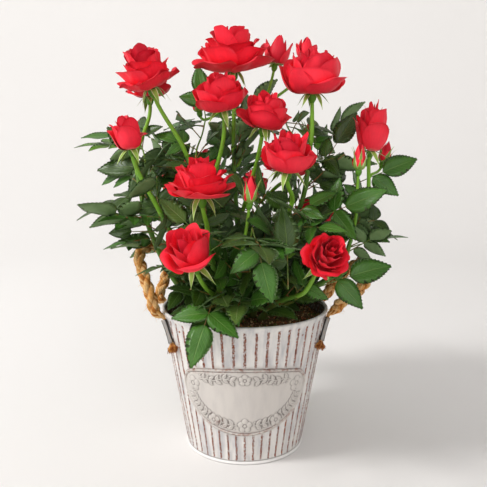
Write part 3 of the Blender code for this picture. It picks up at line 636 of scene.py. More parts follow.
class Gathered:
    """Points, faces, each face's finish and each point's place on the surface, for one mesh."""

    def __init__(self):
        self.points = []
        self.faces = []
        self.kinds = []
        self.places = []

    def add(self, points, faces, kind=0, places=None):
        start = len(self.points)
        self.points += [tuple(p) for p in points]
        self.faces += [tuple(start + k for k in face) for face in faces]
        self.kinds += [kind] * len(faces)
        self.places += places if places else [(0.5, 0.5)] * len(points)

    def piece(self, name, finishes, values=None):
        """The gathered faces as an object, with any extra value that each point carries."""
        mesh = bpy.data.meshes.new(name)
        mesh.from_pydata(self.points, [], self.faces)
        for finish in finishes:
            mesh.materials.append(finish)
        mesh.polygons.foreach_set("material_index", self.kinds)
        mesh.polygons.foreach_set("use_smooth", [True] * len(self.faces))
        corners = np.empty(len(mesh.loops), np.int32)
        mesh.loops.foreach_get("vertex_index", corners)
        layer = mesh.uv_layers.new(name="surface")
        layer.data.foreach_set("uv", np.array(self.places, np.float32)[corners].ravel())
        for label, numbers in (values or {}).items():
            attribute = mesh.attributes.new(label, "FLOAT", "POINT")
            attribute.data.foreach_set("value", np.asarray(numbers, np.float32))
        mesh.validate()
        made = bpy.data.objects.new(name, mesh)
        bpy.context.scene.collection.objects.link(made)
        return made


def settle(piece, slot, *nodes):
    """The piece rides on the one body and stands for its solids. Its slot is not used."""
    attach(piece, "root")
    if nodes:
        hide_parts(*nodes)


def smooth_step(value, low, high):
    """0 below low, 1 above high and smooth between, for numbers and arrays."""
    share = np.clip((value - low) / (high - low), 0.0, 1.0)
    return share * share * (3 - 2 * share)


def smooth_curve(points, steps):
    """Catmull-Rom curve through the points, as a list of steps * (len - 1) + 1 places."""
    places = [Vector(p) for p in points]
    first = places[0] * 2 - places[1]
    last = places[-1] * 2 - places[-2]
    knots = [first] + places + [last]
    curve = []
    for i in range(1, len(knots) - 2):
        a, b, c, d = knots[i - 1 : i + 3]
        slope = c - a
        bow = 2 * a - 5 * b + 4 * c - d
        twist = 3 * b - a - 3 * c + d
        for step in range(steps):
            t = step / steps
            curve.append(0.5 * (2 * b + slope * t + bow * t**2 + twist * t**3))
    curve.append(places[-1])
    return curve


def bend(start, away, end, arrive, steps):
    """A curve from start, leaving along away, to end, arriving along arrive."""
    span = (end - start).length
    a = away * span
    b = arrive * span
    places = []
    for step in range(1, steps + 1):
        t = step / steps
        h00 = 2 * t**3 - 3 * t**2 + 1
        h10 = t**3 - 2 * t**2 + t
        h01 = 3 * t**2 - 2 * t**3
        h11 = t**3 - t**2
        places.append(start * h00 + a * h10 + end * h01 + b * h11)
    return places


def frames_along(path):
    """For each place of a path, the way ahead and two directions across it, without twist."""
    side = (path[1] - path[0]).orthogonal().normalized()
    found = []
    for i in range(len(path)):
        ahead = (path[min(i + 1, len(path) - 1)] - path[max(i - 1, 0)]).normalized()
        side = (side - ahead * side.dot(ahead)).normalized()
        found.append((ahead, side, ahead.cross(side)))
    return found


def tapering(radius, first, less, count):
    """Radii along a limb: the first is a share of the radius, and the last is less by another."""
    return [radius * (first - less * i / (count - 1)) for i in range(count)]


def limb(gathered, path, radii, sides, kind=0, relief=0.0, seed=0):
    """A tapering limb with a rounded tip; relief roughens its bark by that share of its radius."""
    rows = frames_along(path)
    points = []
    places = []
    last = len(path) - 1
    for i, place in enumerate(path):
        _, side, across = rows[i]
        for k in range(sides):
            angle = tau * k / sides
            way = side * cos(angle) + across * sin(angle)
            radius = radii[i]
            if relief:
                radius *= 1 + relief * noise.noise((place + way * radius) * 260 + Vector((seed, 0, 0)))
            points.append(place + way * radius)
            places.append((k / sides, i / last))
    faces = quads(last, sides, True)
    foot = len(points)
    points += [path[0] - rows[0][0] * radii[0] * 0.3, path[-1] + rows[-1][0] * radii[-1] * 0.6]
    places += [(0.5, 0.0), (0.5, 1.0)]
    for k in range(sides):
        after = (k + 1) % sides
        faces.append((foot, after, k))
        faces.append((last * sides + k, last * sides + after, foot + 1))
    gathered.add(points, faces, kind, places)


# Bucket


def wall_radius(height):
    """The bucket's outer radius over its ribs."""
    return BASE_RADIUS + (RIM_RADIUS - BASE_RADIUS) * height / BUCKET_HEIGHT


def bucket_profile():
    """Radius, height and share of the ribs' relief, from the middle of the underside to that of the floor."""
    rows = [
        (0.5 * MM, 0.0, 0.0),
        (BASE_RADIUS - 1.2 * MM, 0.0, 0.0),
        (BASE_RADIUS + 0.5 * MM, 0.2 * MM, 0.0),
        (BASE_RADIUS + 1.3 * MM, 0.8 * MM, 0.0),
        (BASE_RADIUS + 1.5 * MM, 1.5 * MM, 0.0),
        (BASE_RADIUS + 1.2 * MM, 2.2 * MM, 0.0),
        (BASE_RADIUS + 0.4 * MM, 2.7 * MM, 0.0),
    ]
    low, high, count = 3.1 * MM, 116.2 * MM, 36
    for k in range(count + 1):
        height = low + (high - low) * k / count
        share = smooth_step(height, 3.0 * MM, 4.2 * MM) * smooth_step(height, 116.6 * MM, 114.6 * MM)
        rows.append((wall_radius(height), height, float(share)))
    roll = RIM_RADIUS + 0.35 * MM - ROLL
    for k in range(11):
        angle = radians(-48 + 27 * k)
        rows.append((roll + ROLL * cos(angle), 118.5 * MM + ROLL * sin(angle), 0.0))
    for height in (116.4, 112, 108, 100, 60, 4):
        rows.append((wall_radius(height * MM) - WALL, height * MM, 0.0))
    rows.append((BASE_RADIUS - WALL - 1 * MM, FLOOR, 0.0))
    rows.append((0.5 * MM, FLOOR, 0.0))
    return rows


def bucket_wall(settings, finish):
    """The fluted wall with its ribs, rolled rim and the bead round its foot."""
    rows = bucket_profile()
    # Columns crowd round each rib, where the wall turns sharply
    shares = (0.0, 0.05, 0.10, 0.16, 0.32, 0.5, 0.68, 0.84, 0.90, 0.95)
    columns = [(rib + share) / RIBS * tau for rib in range(RIBS) for share in shares]
    gathered = Gathered()
    points = []
    plain = []
    inside = []
    for radius, height, share in rows:
        inner = FLOOR <= height < 116.8 * MM and radius < wall_radius(height) - 0.5 * WALL
        for column, angle in enumerate(columns):
            off = shares[column % len(shares)]
            off = min(off, 1 - off)
            rise = settings.rib_rise * exp(-((off / 0.075) ** 2))
            dip = settings.panel_dip * sin(pi * off) ** 0.8
            reach = radius + share * (rise * 0.6 - dip)
            points.append((reach * sin(angle), -reach * cos(angle), height))
            front = abs((angle + pi) % tau - pi)
            low, high = plaque_outline(front)
            under = front < PLAQUE_HALF_ANGLE * 1.01 and low - 0.6 < height / MM < high + 0.6
            plain.append(float(under))
            inside.append(float(inner))
    count = len(columns)
    faces = quads(len(rows) - 1, count, True)
    faces.append(tuple(reversed(range(count))))
    faces.append(tuple(range((len(rows) - 1) * count, len(rows) * count)))
    gathered.add(points, faces)
    return gathered.piece("bucket_wall", [finish], values={"plain": plain, "inside": inside})


def plaque_outline(angle):
    """Lowest and highest point of the plaque in mm: arched top, rounded corners, round foot."""
    share = min(abs(angle) / PLAQUE_HALF_ANGLE, 1.0)
    middle = PLAQUE_TOP - PLAQUE_CORNER
    side = middle - PLAQUE_ARCH
    low = side - (side - PLAQUE_BOTTOM) * sqrt(max(0.0, 1 - share**2))
    reach = PLAQUE_HALF_ANGLE * wall_radius(middle * MM) / MM
    past = max(0.0, share * reach - (reach - PLAQUE_CORNER)) / PLAQUE_CORNER
    high = middle - PLAQUE_ARCH * share**2 + PLAQUE_CORNER * sqrt(max(0.0, 1 - past**2))
    return low, high


def to_line(s, z, line):
    """Distance in mm from each place to a line of places."""
    nearest = np.full(s.shape, 1e9)
    for (s0, z0), (s1, z1) in zip(line[:-1], line[1:]):
        ds, dz = s1 - s0, z1 - z0
        share = np.clip(((s - s0) * ds + (z - z0) * dz) / (ds * ds + dz * dz + 1e-9), 0, 1)
        nearest = np.minimum(nearest, np.hypot(s - s0 - ds * share, z - z0 - dz * share))
    return nearest


def pressed_leaf(s, z, root, turn, length):
    """Relief of one leaf, as a share of the full rise: a domed blade with a sunk midrib."""
    ds, dz = s - root[0], z - root[1]
    along = (ds * cos(turn) + dz * sin(turn)) / length
    across = (dz * cos(turn) - ds * sin(turn)) / length
    inside = (along > 0) & (along < 1)
    width = 0.27 * np.sin(pi * np.clip(along, 0, 1) ** 0.8) + 1e-6
    dome = np.clip(1 - (across / width) ** 2, 0, 1) ** 0.5
    rib = 0.45 * np.exp(-((across * length / 0.22) ** 2))
    return np.where(inside, dome * (1 - rib), 0.0)


def pressed_rosette(s, z, centre, size):
    """Relief of one small rosette: five round petals about a button."""
    rise = np.zeros(s.shape)
    for k in range(5):
        angle = radians(90 + 72 * k)
        away = np.hypot(s - centre[0] - size * 0.56 * cos(angle), z - centre[1] - size * 0.56 * sin(angle))
        rise = np.maximum(rise, np.clip(1 - (away / (size * 0.42)) ** 2, 0, 1) ** 0.5)
    button = np.hypot(s - centre[0], z - centre[1])
    groove = np.exp(-(((button - size * 0.27) / 0.22) ** 2))
    rise *= 1 - 0.7 * groove
    return np.maximum(rise, np.clip(1 - (button / (size * 0.24)) ** 2, 0, 1) ** 0.5)


def plaque_relief(s, z, from_edge):
    """Relief of the plaque as a share of the full rise: sprigs along its foot and top, a bare centre."""
    reach = PLAQUE_HALF_ANGLE * wall_radius((PLAQUE_TOP - PLAQUE_CORNER) * MM) / MM
    side = PLAQUE_TOP - PLAQUE_CORNER - PLAQUE_ARCH
    rise = np.zeros(s.shape)
    for hand in (-1, 1):
        foot_sprig = []
        for k in range(21):
            t = radians(9 + 68 * k / 20)
            foot_sprig.append((hand * (reach - 10) * sin(t), side - (side - PLAQUE_BOTTOM - 9) * cos(t)))
        top_sprig = []
        for k in range(11):
            out = reach - 20 - 2.9 * k
            arch = PLAQUE_ARCH * (out / reach) ** 2
            top_sprig.append((hand * out, PLAQUE_TOP - 9.0 - arch + sin(k * 1.1)))
        for sprig, length in ((foot_sprig, 6.4), (top_sprig, 5.6)):
            rise = np.maximum(rise, 0.7 * np.exp(-((to_line(s, z, sprig) / 0.36) ** 2)))
            for k in range(1, len(sprig) - 1, 2):
                ahead = atan2(sprig[k + 1][1] - sprig[k - 1][1], sprig[k + 1][0] - sprig[k - 1][0])
                for lean in (-0.85, 0.85):
                    rise = np.maximum(rise, pressed_leaf(s, z, sprig[k], ahead + lean, length))
                berry = (sprig[k][0] + 3.4 * cos(ahead + 1.9), sprig[k][1] + 3.4 * sin(ahead + 1.9))
                away = np.hypot(s - berry[0], z - berry[1])
                rise = np.maximum(rise, 0.8 * np.clip(1 - (away / 0.75) ** 2, 0, 1) ** 0.5)
    blooms = [((0.0, PLAQUE_BOTTOM + 9.5), 6.4), ((0.0, PLAQUE_TOP - 9.5), 5.0)]
    for hand in (-1, 1):
        blooms += [((hand * (reach - 12.5), side + 3.0), 6.6), ((hand * 27.5, 39.5), 5.6)]
    for place, size in blooms:
        away = np.hypot(s - place[0], z - place[1])
        rise = np.where(away < size * 1.08, 0.0, rise)
        rise = np.maximum(rise, pressed_rosette(s, z, place, size))
    bead = 0.55 * np.exp(-(((from_edge - 1.3) / 0.55) ** 2))
    groove = 0.75 * np.exp(-(((from_edge - 2.7) / 0.38) ** 2))
    return np.maximum(rise, bead) - groove


def plaque(settings, finish):
    """The raised plate with its embossed sprigs, bent round the wall."""
    columns, rows = 300, 170
    angles = -PLAQUE_HALF_ANGLE * np.cos(np.pi * np.linspace(0, 1, columns + 1)) * 0.9985
    edge_share = np.linspace(0, 1, rows + 1)
    limits = np.array([plaque_outline(angle) for angle in angles])
    z = limits[:, :1] + (limits[:, 1:] - limits[:, :1]) * edge_share[None, :]
    radius = np.array([[wall_radius(h * MM) / MM for h in line] for line in z])
    s = angles[:, None] * (wall_radius((PLAQUE_TOP - PLAQUE_CORNER) * MM) / MM)
    s = np.repeat(s, rows + 1, axis=1)
    border = [(s[i, 0], z[i, 0]) for i in range(0, columns + 1, 3)]
    border += [(s[i, -1], z[i, -1]) for i in range(columns, -1, -3)]
    from_edge = to_line(s, z, border + border[:1])
    rise = plaque_relief(s, z, from_edge)
    height = PLAQUE_PROUD * smooth_step(from_edge, -0.2, 0.9) + rise * settings.relief / MM
    spread = rise.copy()
    for _ in range(4):
        beside = spread[:-2, 1:-1] + spread[2:, 1:-1] + spread[1:-1, :-2] + spread[1:-1, 2:]
        spread[1:-1, 1:-1] = beside / 4
    patina = np.clip((spread - rise) * 4.2, 0, 1)
    patina = np.maximum(patina, 0.8 * np.exp(-(((from_edge - 0.2) / 0.45) ** 2)))
    warm = smooth_step(from_edge, 5.0, 0.5) * smooth_step(np.abs(s) * 0.2 + np.abs(z - 58), 14.0, 26.0)
    warm = np.maximum(warm, 0.6 * np.exp(-(((s + 24) / 8) ** 2) - ((z - 36) / 6) ** 2))

    def bent_round(reach):
        """The grid's places at their distances from the bucket's axis."""
        around = angles[:, None]
        return np.stack([reach * np.sin(around), -reach * np.cos(around), z * MM], axis=-1).reshape(-1, 3)

    face = bent_round((radius + height) * MM)
    back = bent_round((radius - PLAQUE_SUNK) * MM)
    faces = [(a, d, c, b) for a, b, c, d in quads(columns, rows)]
    rim = outline(columns, rows)
    total = len(face)
    for k, a in enumerate(rim):
        after = (k + 1) % len(rim)
        faces.append((rim[after], total + after, total + k, a))
    points = list(map(tuple, face)) + [tuple(back[a]) for a in rim]
    gathered = Gathered()
    gathered.add(points, faces)
    values = {
        "plain": np.ones(len(points)),
        "patina": np.concatenate([patina.ravel(), np.full(len(rim), 0.9)]),
        "bleed": np.concatenate([warm.ravel(), np.full(len(rim), 0.6)]),
    }
    return gathered.piece("bucket_plaque", [finish], values=values)


class ROSE_OT_bucket(bpy.types.Operator):
    """Make the fluted tin bucket and its embossed plaque"""

    bl_idname = "rose.bucket"
    bl_label = "Tin bucket"

    def execute(self, context):
        settings = context.scene.rose_bucket
        finish = whitewashed_tin(settings.paint, settings.rust)
        settle(bucket_wall(settings, finish), "tin", "bucket")
        settle(plaque(settings, finish), "tin")
        return {"FINISHED"}


# Compost

# The heaps rise this far over the mean surface, and the fill reaches down to its foot
SOIL_DIP = 0.6 * MM
SOIL_FOOT = 60 * MM
# Crumbs lie on the fill's faces above this height
CRUMBED_ABOVE = 100 * MM
CRUMB_SHAPES = 8


def soil_height(radius):
    """Height of the compost at a distance from the middle: flat where the canes stand, lower at the wall."""
    share = min(max((radius - 30 * MM) / (36 * MM), 0.0), 1.0)
    return SOIL_TOP - (SOIL_TOP - SOIL_EDGE) * share**1.6


def soil_surface(finish):
    """The fill, whose top is heaped and crumbled."""
    rings, sides = 44, 132
    edge = wall_radius(SOIL_EDGE) - WALL - 0.3 * MM
    points = []
    for row in range(1, rings + 1):
        radius = edge * row / rings
        share = 0.25 if row == rings else 1.0
        for place in ring(radius, 0.0, sides):
            heap = noise.noise(place * 70) * 1.5 * MM + noise.noise(place * 260) * 1.3 * MM
            heap += noise.noise(place * 700) * 0.5 * MM
            points.append((place.x, place.y, soil_height(radius) - SOIL_DIP + heap * share))
    points += ring(wall_radius(SOIL_FOOT) - WALL - 0.3 * MM, SOIL_FOOT, sides)
    middle = len(points)
    points += [(0.0, 0.0, SOIL_TOP - SOIL_DIP), (0.0, 0.0, SOIL_FOOT)]
    faces = []
    for k in range(sides):
        after = (k + 1) % sides
        faces.append((k, after, middle))
        for row in range(rings):
            a = row * sides
            faces.append((a + sides + k, a + sides + after, a + after, a + k))
        faces.append((rings * sides + after, rings * sides + k, middle + 1))
    gathered = Gathered()
    gathered.add(points, faces)
    return gathered.piece("compost_fill", [finish])


def lump(name, seed, long):
    """One crumb about a metre across, to be stood many times at its real size."""
    mesh = bpy.data.meshes.new(name)
    rough = random.Random(seed)
    points = [(0, 0, 0.45)]
    for half in (1, -1):
        for k in range(5):
            x = cos(radians(72 * k)) * rough.uniform(0.3, 0.5)
            y = sin(radians(72 * k)) * rough.uniform(0.3, 0.5)
            points.append((x, y, half * rough.uniform(0.1, 0.28)))
    points.append((0, 0, -0.42))
    faces = []
    for k in range(5):
        after = (k + 1) % 5
        faces.append((0, 1 + k, 1 + after))
        faces.append((1 + k, 6 + k, 6 + after, 1 + after))
        faces.append((11, 6 + after, 6 + k))
    mesh.from_pydata([(x * long, y, z) for x, y, z in points], [], faces)
    return bpy.data.objects.new(name, mesh)


def start_tree(name, **sockets):
    """A new geometry tree with its named inputs, and the outputs that give them."""
    tree = bpy.data.node_groups.new(name, "GeometryNodeTree")
    for label, kind in sockets.items():
        tree.interface.new_socket(label, in_out="INPUT", socket_type="NodeSocket" + kind)
    tree.interface.new_socket("Result", in_out="OUTPUT", socket_type="NodeSocketGeometry")
    return tree, add(tree, "NodeGroupInput").outputs


def stood(tree, points, templates, pick, turn, size, finish):
    """Templates stood on points as real geometry, in one finish."""
    apart = {"Separate Children": True, "Reset Children": True}
    children = add(tree, "GeometryNodeCollectionInfo", apart, {"Collection": templates})
    links = {"Points": points, "Instance": children.outputs[0], "Instance Index": pick}
    links |= {"Rotation": turn, "Scale": size}
    copies = add(tree, "GeometryNodeInstanceOnPoints", {"Pick Instance": True}, links)
    real = add(tree, "GeometryNodeRealizeInstances", {}, {"Geometry": copies.outputs["Instances"]})
    return add(tree, "GeometryNodeSetMaterial", {}, {"Geometry": real.outputs[0], "Material": finish})


def scattering_tree():
    """Strews templates over a surface, each turned and sized at random from a fixed seed."""
    tree, entry = start_tree(
        "strewn_crumbs", Surface="Geometry", Templates="Collection", Density="Float",
        Smallest="Float", Largest="Float", Seed="Int", Finish="Material",
    )

    def drawn(kind, output, settings, links=()):
        """A random value from the fixed seed."""
        links = {"Seed": entry["Seed"], **dict(links)}
        return add(tree, "FunctionNodeRandomValue", {"data_type": kind, **settings}, links).outputs[output]

    links = {"Mesh": entry["Surface"], "Density": entry["Density"], "Seed": entry["Seed"]}
    spots = add(tree, "GeometryNodeDistributePointsOnFaces", {}, links)
    turn = drawn("FLOAT_VECTOR", 0, {1: (tau, tau, tau)})
    size = drawn("FLOAT", 1, {}, {2: entry["Smallest"], 3: entry["Largest"]})
    pick = drawn("INT", 2, {4: 0, 5: CRUMB_SHAPES - 1})
    done = stood(tree, spots.outputs["Points"], entry["Templates"], pick, turn, size, entry["Finish"])
    add(tree, "NodeGroupOutput", {}, {"Result": done.outputs[0]})
    return tree


def grow(host, tree, inputs):
    """Runs a node tree on an object, keeps the result as the object's plain mesh and drops the tree."""
    modifier = host.modifiers.new("grow", "NODES")
    modifier.node_group = tree
    for socket in tree.interface.items_tree:
        if socket.name in inputs:
            modifier[socket.identifier] = inputs[socket.name]
    host.update_tag()
    bpy.context.view_layer.update()
    graph = bpy.context.evaluated_depsgraph_get()
    made = bpy.data.meshes.new_from_object(host.evaluated_get(graph))
    host.modifiers.remove(modifier)
    spare = host.data
    host.data = made
    made.name = host.name
    bpy.data.meshes.remove(spare)
    return host


def collected(name, objects):
    """A new collection that holds the templates."""
    group = bpy.data.collections.new(name)
    for obj in objects:
        group.objects.link(obj)
    return group


def cleared(group):
    """Removes a collection of templates once they are used."""
    for obj in list(group.objects):
        bpy.data.objects.remove(obj, do_unlink=True)
    bpy.data.collections.remove(group)


class ROSE_OT_compost(bpy.types.Operator):
    """Make the compost and strew crumbs, bark and fibre over it"""

    bl_idname = "rose.compost"
    bl_label = "Compost"

    def execute(self, context):
        fill = soil_surface(peat("moist_peat", "38281A", "80603E", 1.6 * MM))
        tree = scattering_tree()
        kinds = (
            ("peat_crumbs", peat("dark_peat_crumbs", "3A2A1C", "866646", 0.9 * MM), 1.0, 125000, 1.0, 3.2, 3),
            ("bark_crumbs", peat("red_bark_crumbs", "74422A", "BC7C52", 0.9 * MM), 1.5, 40000, 0.8, 2.8, 4),
            ("wood_crumbs", peat("pale_wood_crumbs", "9A7A54", "D8BC90", 0.9 * MM), 2.0, 30000, 0.7, 2.3, 5),
            ("moss_crumbs", plain_green("dry_moss", "5A6A2C", 0.9), 1.2, 42000, 0.8, 2.6, 6),
        )
        keep = [p for p in fill.data.polygons if p.center.z > CRUMBED_ABOVE and p.normal.z > 0.3]
        index = {}
        for polygon in keep:
            for v in polygon.vertices:
                index.setdefault(v, len(index))
        top = Gathered()
        corners = [fill.data.vertices[v].co for v in index]
        top.add(corners, [tuple(index[v] for v in polygon.vertices) for polygon in keep])
        for name, finish, long, density, smallest, largest, seed in kinds:
            lumps = [lump(f"{name}_{k}", seed * 10 + k, long) for k in range(CRUMB_SHAPES)]
            group = collected(name + "_templates", lumps)
            inputs = {"Templates": group, "Density": float(density), "Seed": seed, "Finish": finish}
            inputs |= {"Smallest": smallest * MM, "Largest": largest * MM}
            host = grow(top.piece(name, [finish]), tree, inputs)
            cleared(group)
            settle(host, "compost")
        settle(fill, "compost", "compost")
        return {"FINISHED"}


# Straps and ropes


def wall_frame(angle, height):
    """Place on the wall at an angle from the front, with the way out of the wall there."""
    radius = wall_radius(height)
    place = Vector((radius * sin(angle), -radius * cos(angle), height))
    slope = (RIM_RADIUS - BASE_RADIUS) / BUCKET_HEIGHT
    out = Vector((sin(angle), -cos(angle), -slope)).normalized()
    return place, out


def strap_line(side, end):
    """Top and foot of a strap, with the way out of the wall. end is -1 for the front, 1 for the rear."""
    centre = side * pi / 2 + HANDLE_TURN
    spread = -side * end
    top = wall_frame(centre - spread * STRAP_TOP_ANGLE, STRAP_TOP)
    foot = wall_frame(centre - spread * STRAP_FOOT_ANGLE, STRAP_FOOT)
    return top, foot


def strap(gathered, shaded_edges_and_dark_crown, side, end):
    """A strip of steel bent into an arch over the rope's end, with both its edges against the wall."""
    (top, top_out), (foot, foot_out) = strap_line(side, end)
    stations, arcs = 12, 14
    outer = []
    inner = []
    for station in range(stations + 1):
        share = station / stations
        place = foot.lerp(top, share)
        out = foot_out.lerp(top_out, share).normalized()
        across = (top - foot).cross(out).normalized()
        lift = GAP * 1.5 + 0.1 * MM
        pinch = 1 - 0.12 * sin(pi * share)
        for k in range(arcs + 1):
            angle = pi * k / arcs
            way = across * cos(angle) * STRAP_WIDTH / 2 + out * sin(angle) * STRAP_RISE * pinch
            outer.append(place + out * lift + way)
            inner.append(place + out * lift + way * (1 - 2 * STRAP_SHEET / STRAP_WIDTH))
            # Each point is marked 1 along both edges, for painted shade, and along the crown, for blackening
            shaded_edges_and_dark_crown.append(1.0 if not 0.25 < abs(cos(angle)) < 0.95 else 0.0)
    total = len(outer)
    shaded_edges_and_dark_crown += shaded_edges_and_dark_crown[-total:]
    faces = []
    for a, b, c, d in quads(stations, arcs):
        faces.append((a, d, c, b))
        faces.append((total + b, total + c, total + d, total + a))
    rim = outline(stations, arcs)
    for a, b in zip(rim, rim[1:] + rim[:1]):
        faces.append((a, b, total + b, total + a))
    gathered.add(outer + inner, faces)


def rope_route(side):
    """The rope's route from below its front strap, up over the loop and down through the rear one."""
    route = []
    radii = []
    for end in (-1, 1):
        (top, top_out), (foot, foot_out) = strap_line(side, end)
        down = (foot - top).normalized()
        middle = STRAP_RISE * 0.42 + GAP
        leg = [
            (foot + down * 4.6 * MM + foot_out * 3.4 * MM, 3.0 * MM),
            (foot + down * 1.6 * MM + foot_out * middle, PINCHED_ROPE_RADIUS * 1.1),
            (foot.lerp(top, 0.5) + foot_out * middle, PINCHED_ROPE_RADIUS),
            (top - down * 1.6 * MM + top_out * middle, PINCHED_ROPE_RADIUS),
            (top - down * 5.4 * MM + top_out * 4.8 * MM, 3.4 * MM),
            (top - down * 9.8 * MM + top_out * 7.2 * MM, ROPE_RADIUS),
        ]
        loop = [(Vector(p) * MM, ROPE_RADIUS) for p in ROPE_LOOPS[side]]
        stretch = leg + loop if end == -1 else leg[::-1]
        route += [place for place, _ in stretch]
        radii += [radius for _, radius in stretch]
    return route, radii


def rope(gathered, side, settings, chance):
    """Three strands laid round each other, each of several spun yarns, with loose fibres along them."""
    route, radii = rope_route(side)
    steps = 9
    path = smooth_curve(route, steps)
    thick = []
    for i in range(len(path)):
        share = i / steps
        low = min(int(share), len(radii) - 2)
        thick.append(radii[low] + (radii[low + 1] - radii[low]) * (share - low))
    rows = frames_along(path)
    length = [0.0]
    for a, b in zip(path[:-1], path[1:]):
        length.append(length[-1] + (b - a).length)
    for strand in range(3):
        for yarn in range(settings.yarns):
            line = []
            for i, place in enumerate(path):
                lay = tau * (length[i] / settings.twist_pitch + strand / 3)
                own = -tau * (length[i] / (settings.twist_pitch * 0.45)) + tau * yarn / settings.yarns
                _, u, v = rows[i]
                centre = place + (u * cos(lay) + v * sin(lay)) * thick[i] * 0.47
                wobble = 1 + 0.12 * noise.noise(place * 300 + Vector((strand * 5, yarn * 3, 0)))
                line.append(centre + (u * cos(own) + v * sin(own)) * thick[i] * 0.36 * wobble)
            shade = chance.choice((0, 0, 1, 1, 2))
            limb(gathered, line, [t * 0.198 for t in thick], 5, shade)
    for _ in range(settings.hairs):
        i = chance.randrange(steps, len(path) - steps)
        ahead, u, v = rows[i]
        angle = chance.uniform(0, tau)
        out = u * cos(angle) + v * sin(angle)
        start = path[i] + out * thick[i] * 0.85
        way = (ahead * chance.uniform(-1, 1) + out * chance.uniform(0.15, 0.7)).normalized()
        reach = chance.uniform(2.0, 5.5) * MM
        curl = Vector((chance.uniform(-1, 1), chance.uniform(-1, 1), chance.uniform(-1, 1))) * reach * 0.3
        line = [start, start + way * reach * 0.5 + curl * 0.3, start + way * reach + curl]
        limb(gathered, line, [0.11 * MM, 0.09 * MM, 0.04 * MM], 3, chance.choice((0, 0, 1)))
    for end in (-1, 1):
        tuft(gathered, side, end, chance)


def tuft(gathered, side, end, chance):
    """The frayed end of the rope below its strap: many short fibres that fan out."""
    (top, _), (foot, out) = strap_line(side, end)
    down = (foot - top).normalized()
    across = down.cross(out).normalized()
    for _ in range(TUFT_FIBRES):
        turn = chance.uniform(0, tau)
        spread = chance.uniform(0.0, 1.05)
        start = foot + down * 0.8 * MM + out * 2.2 * MM
        start += (across * cos(turn) + out * sin(turn)) * chance.uniform(0.2, 1.3) * MM
        way = (down + (across * cos(turn) + out * 0.8 * sin(turn)) * spread).normalized()
        reach = chance.uniform(4.0, 8.0) * MM
        curl = Vector((chance.uniform(-1, 1), chance.uniform(-1, 1), chance.uniform(-0.6, 1))) * reach * 0.25
        line = [start, start + way * reach * 0.45, start + way * reach * 0.8 + curl * 0.5]
        line.append(start + way * reach + curl)
        if wall_radius(line[-1].z) + 0.5 * MM > hypot(line[-1].x, line[-1].y):
            line[-1] += out * 1.2 * MM
        limb(gathered, line, [0.38 * MM, 0.42 * MM, 0.36 * MM, 0.18 * MM], 4, chance.choice((1, 2, 3, 3)))


class ROSE_OT_handles(bpy.types.Operator):
    """Make the jute rope handles and the steel straps that hold their ends"""

    bl_idname = "rose.handles"
    bl_label = "Rope handles"

    def execute(self, context):
        settings = context.scene.rose_handles
        finishes = [
            jute("pale_jute", "F0C68A"),
            jute("tan_jute", "E2A65C"),
            jute("brown_jute", "C07A34"),
            jute("frayed_jute", "96501E"),
        ]
        for name, side, seed in (("left", -1, 21), ("right", 1, 22)):
            gathered = Gathered()
            rope(gathered, side, settings, random.Random(seed))
            settle(gathered.piece("jute_rope_" + name, finishes), "rope", "rope_handle_" + name)
        gathered = Gathered()
        shaded_edges_and_dark_crown = []
        for side, end in ((-1, -1), (-1, 1), (1, -1), (1, 1)):
            strap(gathered, shaded_edges_and_dark_crown, side, end)
        straps = gathered.piece("steel_straps", [strap_steel()], values={"edge": shaded_edges_and_dark_crown})
        settle(straps, "steel", "strap_1", "strap_2", "strap_3", "strap_4")
        return {"FINISHED"}


# Canes


def cane_curve(name, steps=2):
    """The places along a cane from its foot on the compost to its tip."""
    places = CANES[name]
    foot = (places[0][0], places[0][1], (SOIL_TOP + GAP) / MM)
    return [p * MM for p in smooth_curve([foot] + places[1:], steps)]


def cane_radius(share):
    """A cane's radius at a share of its length."""
    return CANE_FOOT_RADIUS + (CANE_TIP_RADIUS - CANE_FOOT_RADIUS) * share**0.6


def on_cane(name, share):
    """The place on a cane's centre line at a share of its length, its direction and its radius there."""
    path = cane_curve(name)
    at = share * (len(path) - 1)
    i = min(int(at), len(path) - 2)
    place = path[i].lerp(path[i + 1], at - i)
    return place, (path[i + 1] - path[i]).normalized(), cane_radius(share)


def leave_cane(name, share, target, radius):
    """The first places of a shoot that leaves a cane towards a target, from within the cane's bark."""
    place, ahead, thick = on_cane(name, share)
    if share >= 1.0:
        start = place + ahead * GAP
        return [place - ahead * 2 * MM, start, start + ahead * 3 * MM], ahead
    out = target - place
    out = (out - ahead * out.dot(ahead)).normalized()
    start = place + out * (thick + GAP)
    away = (out * 0.6 + ahead).normalized()
    return [place, start, start + out * radius * 1.6 + ahead * radius * 0.4], away


def prickle_template():
    """One prickle a metre long: a flat-footed thorn that hooks down."""
    mesh = bpy.data.meshes.new("prickle")
    rings = [(0.42, 0.20, 0.0, 0.0), (0.24, 0.12, 0.35, -0.05), (0.10, 0.06, 0.72, -0.16)]
    points = []
    for long, wide, out, drop in rings:
        for k in range(6):
            angle = radians(60 * k)
            points.append((wide * cos(angle), long * sin(angle) + drop, out))
    points.append((0.0, -0.34, 1.0))
    faces = quads(2, 6, True)
    for k in range(6):
        faces.append((12 + k, 12 + (k + 1) % 6, 18))
    faces.append(tuple(reversed(range(6))))
    mesh.from_pydata(points, [], faces)
    mesh.polygons.foreach_set("use_smooth", [True] * len(faces))
    return bpy.data.objects.new("prickle", mesh)


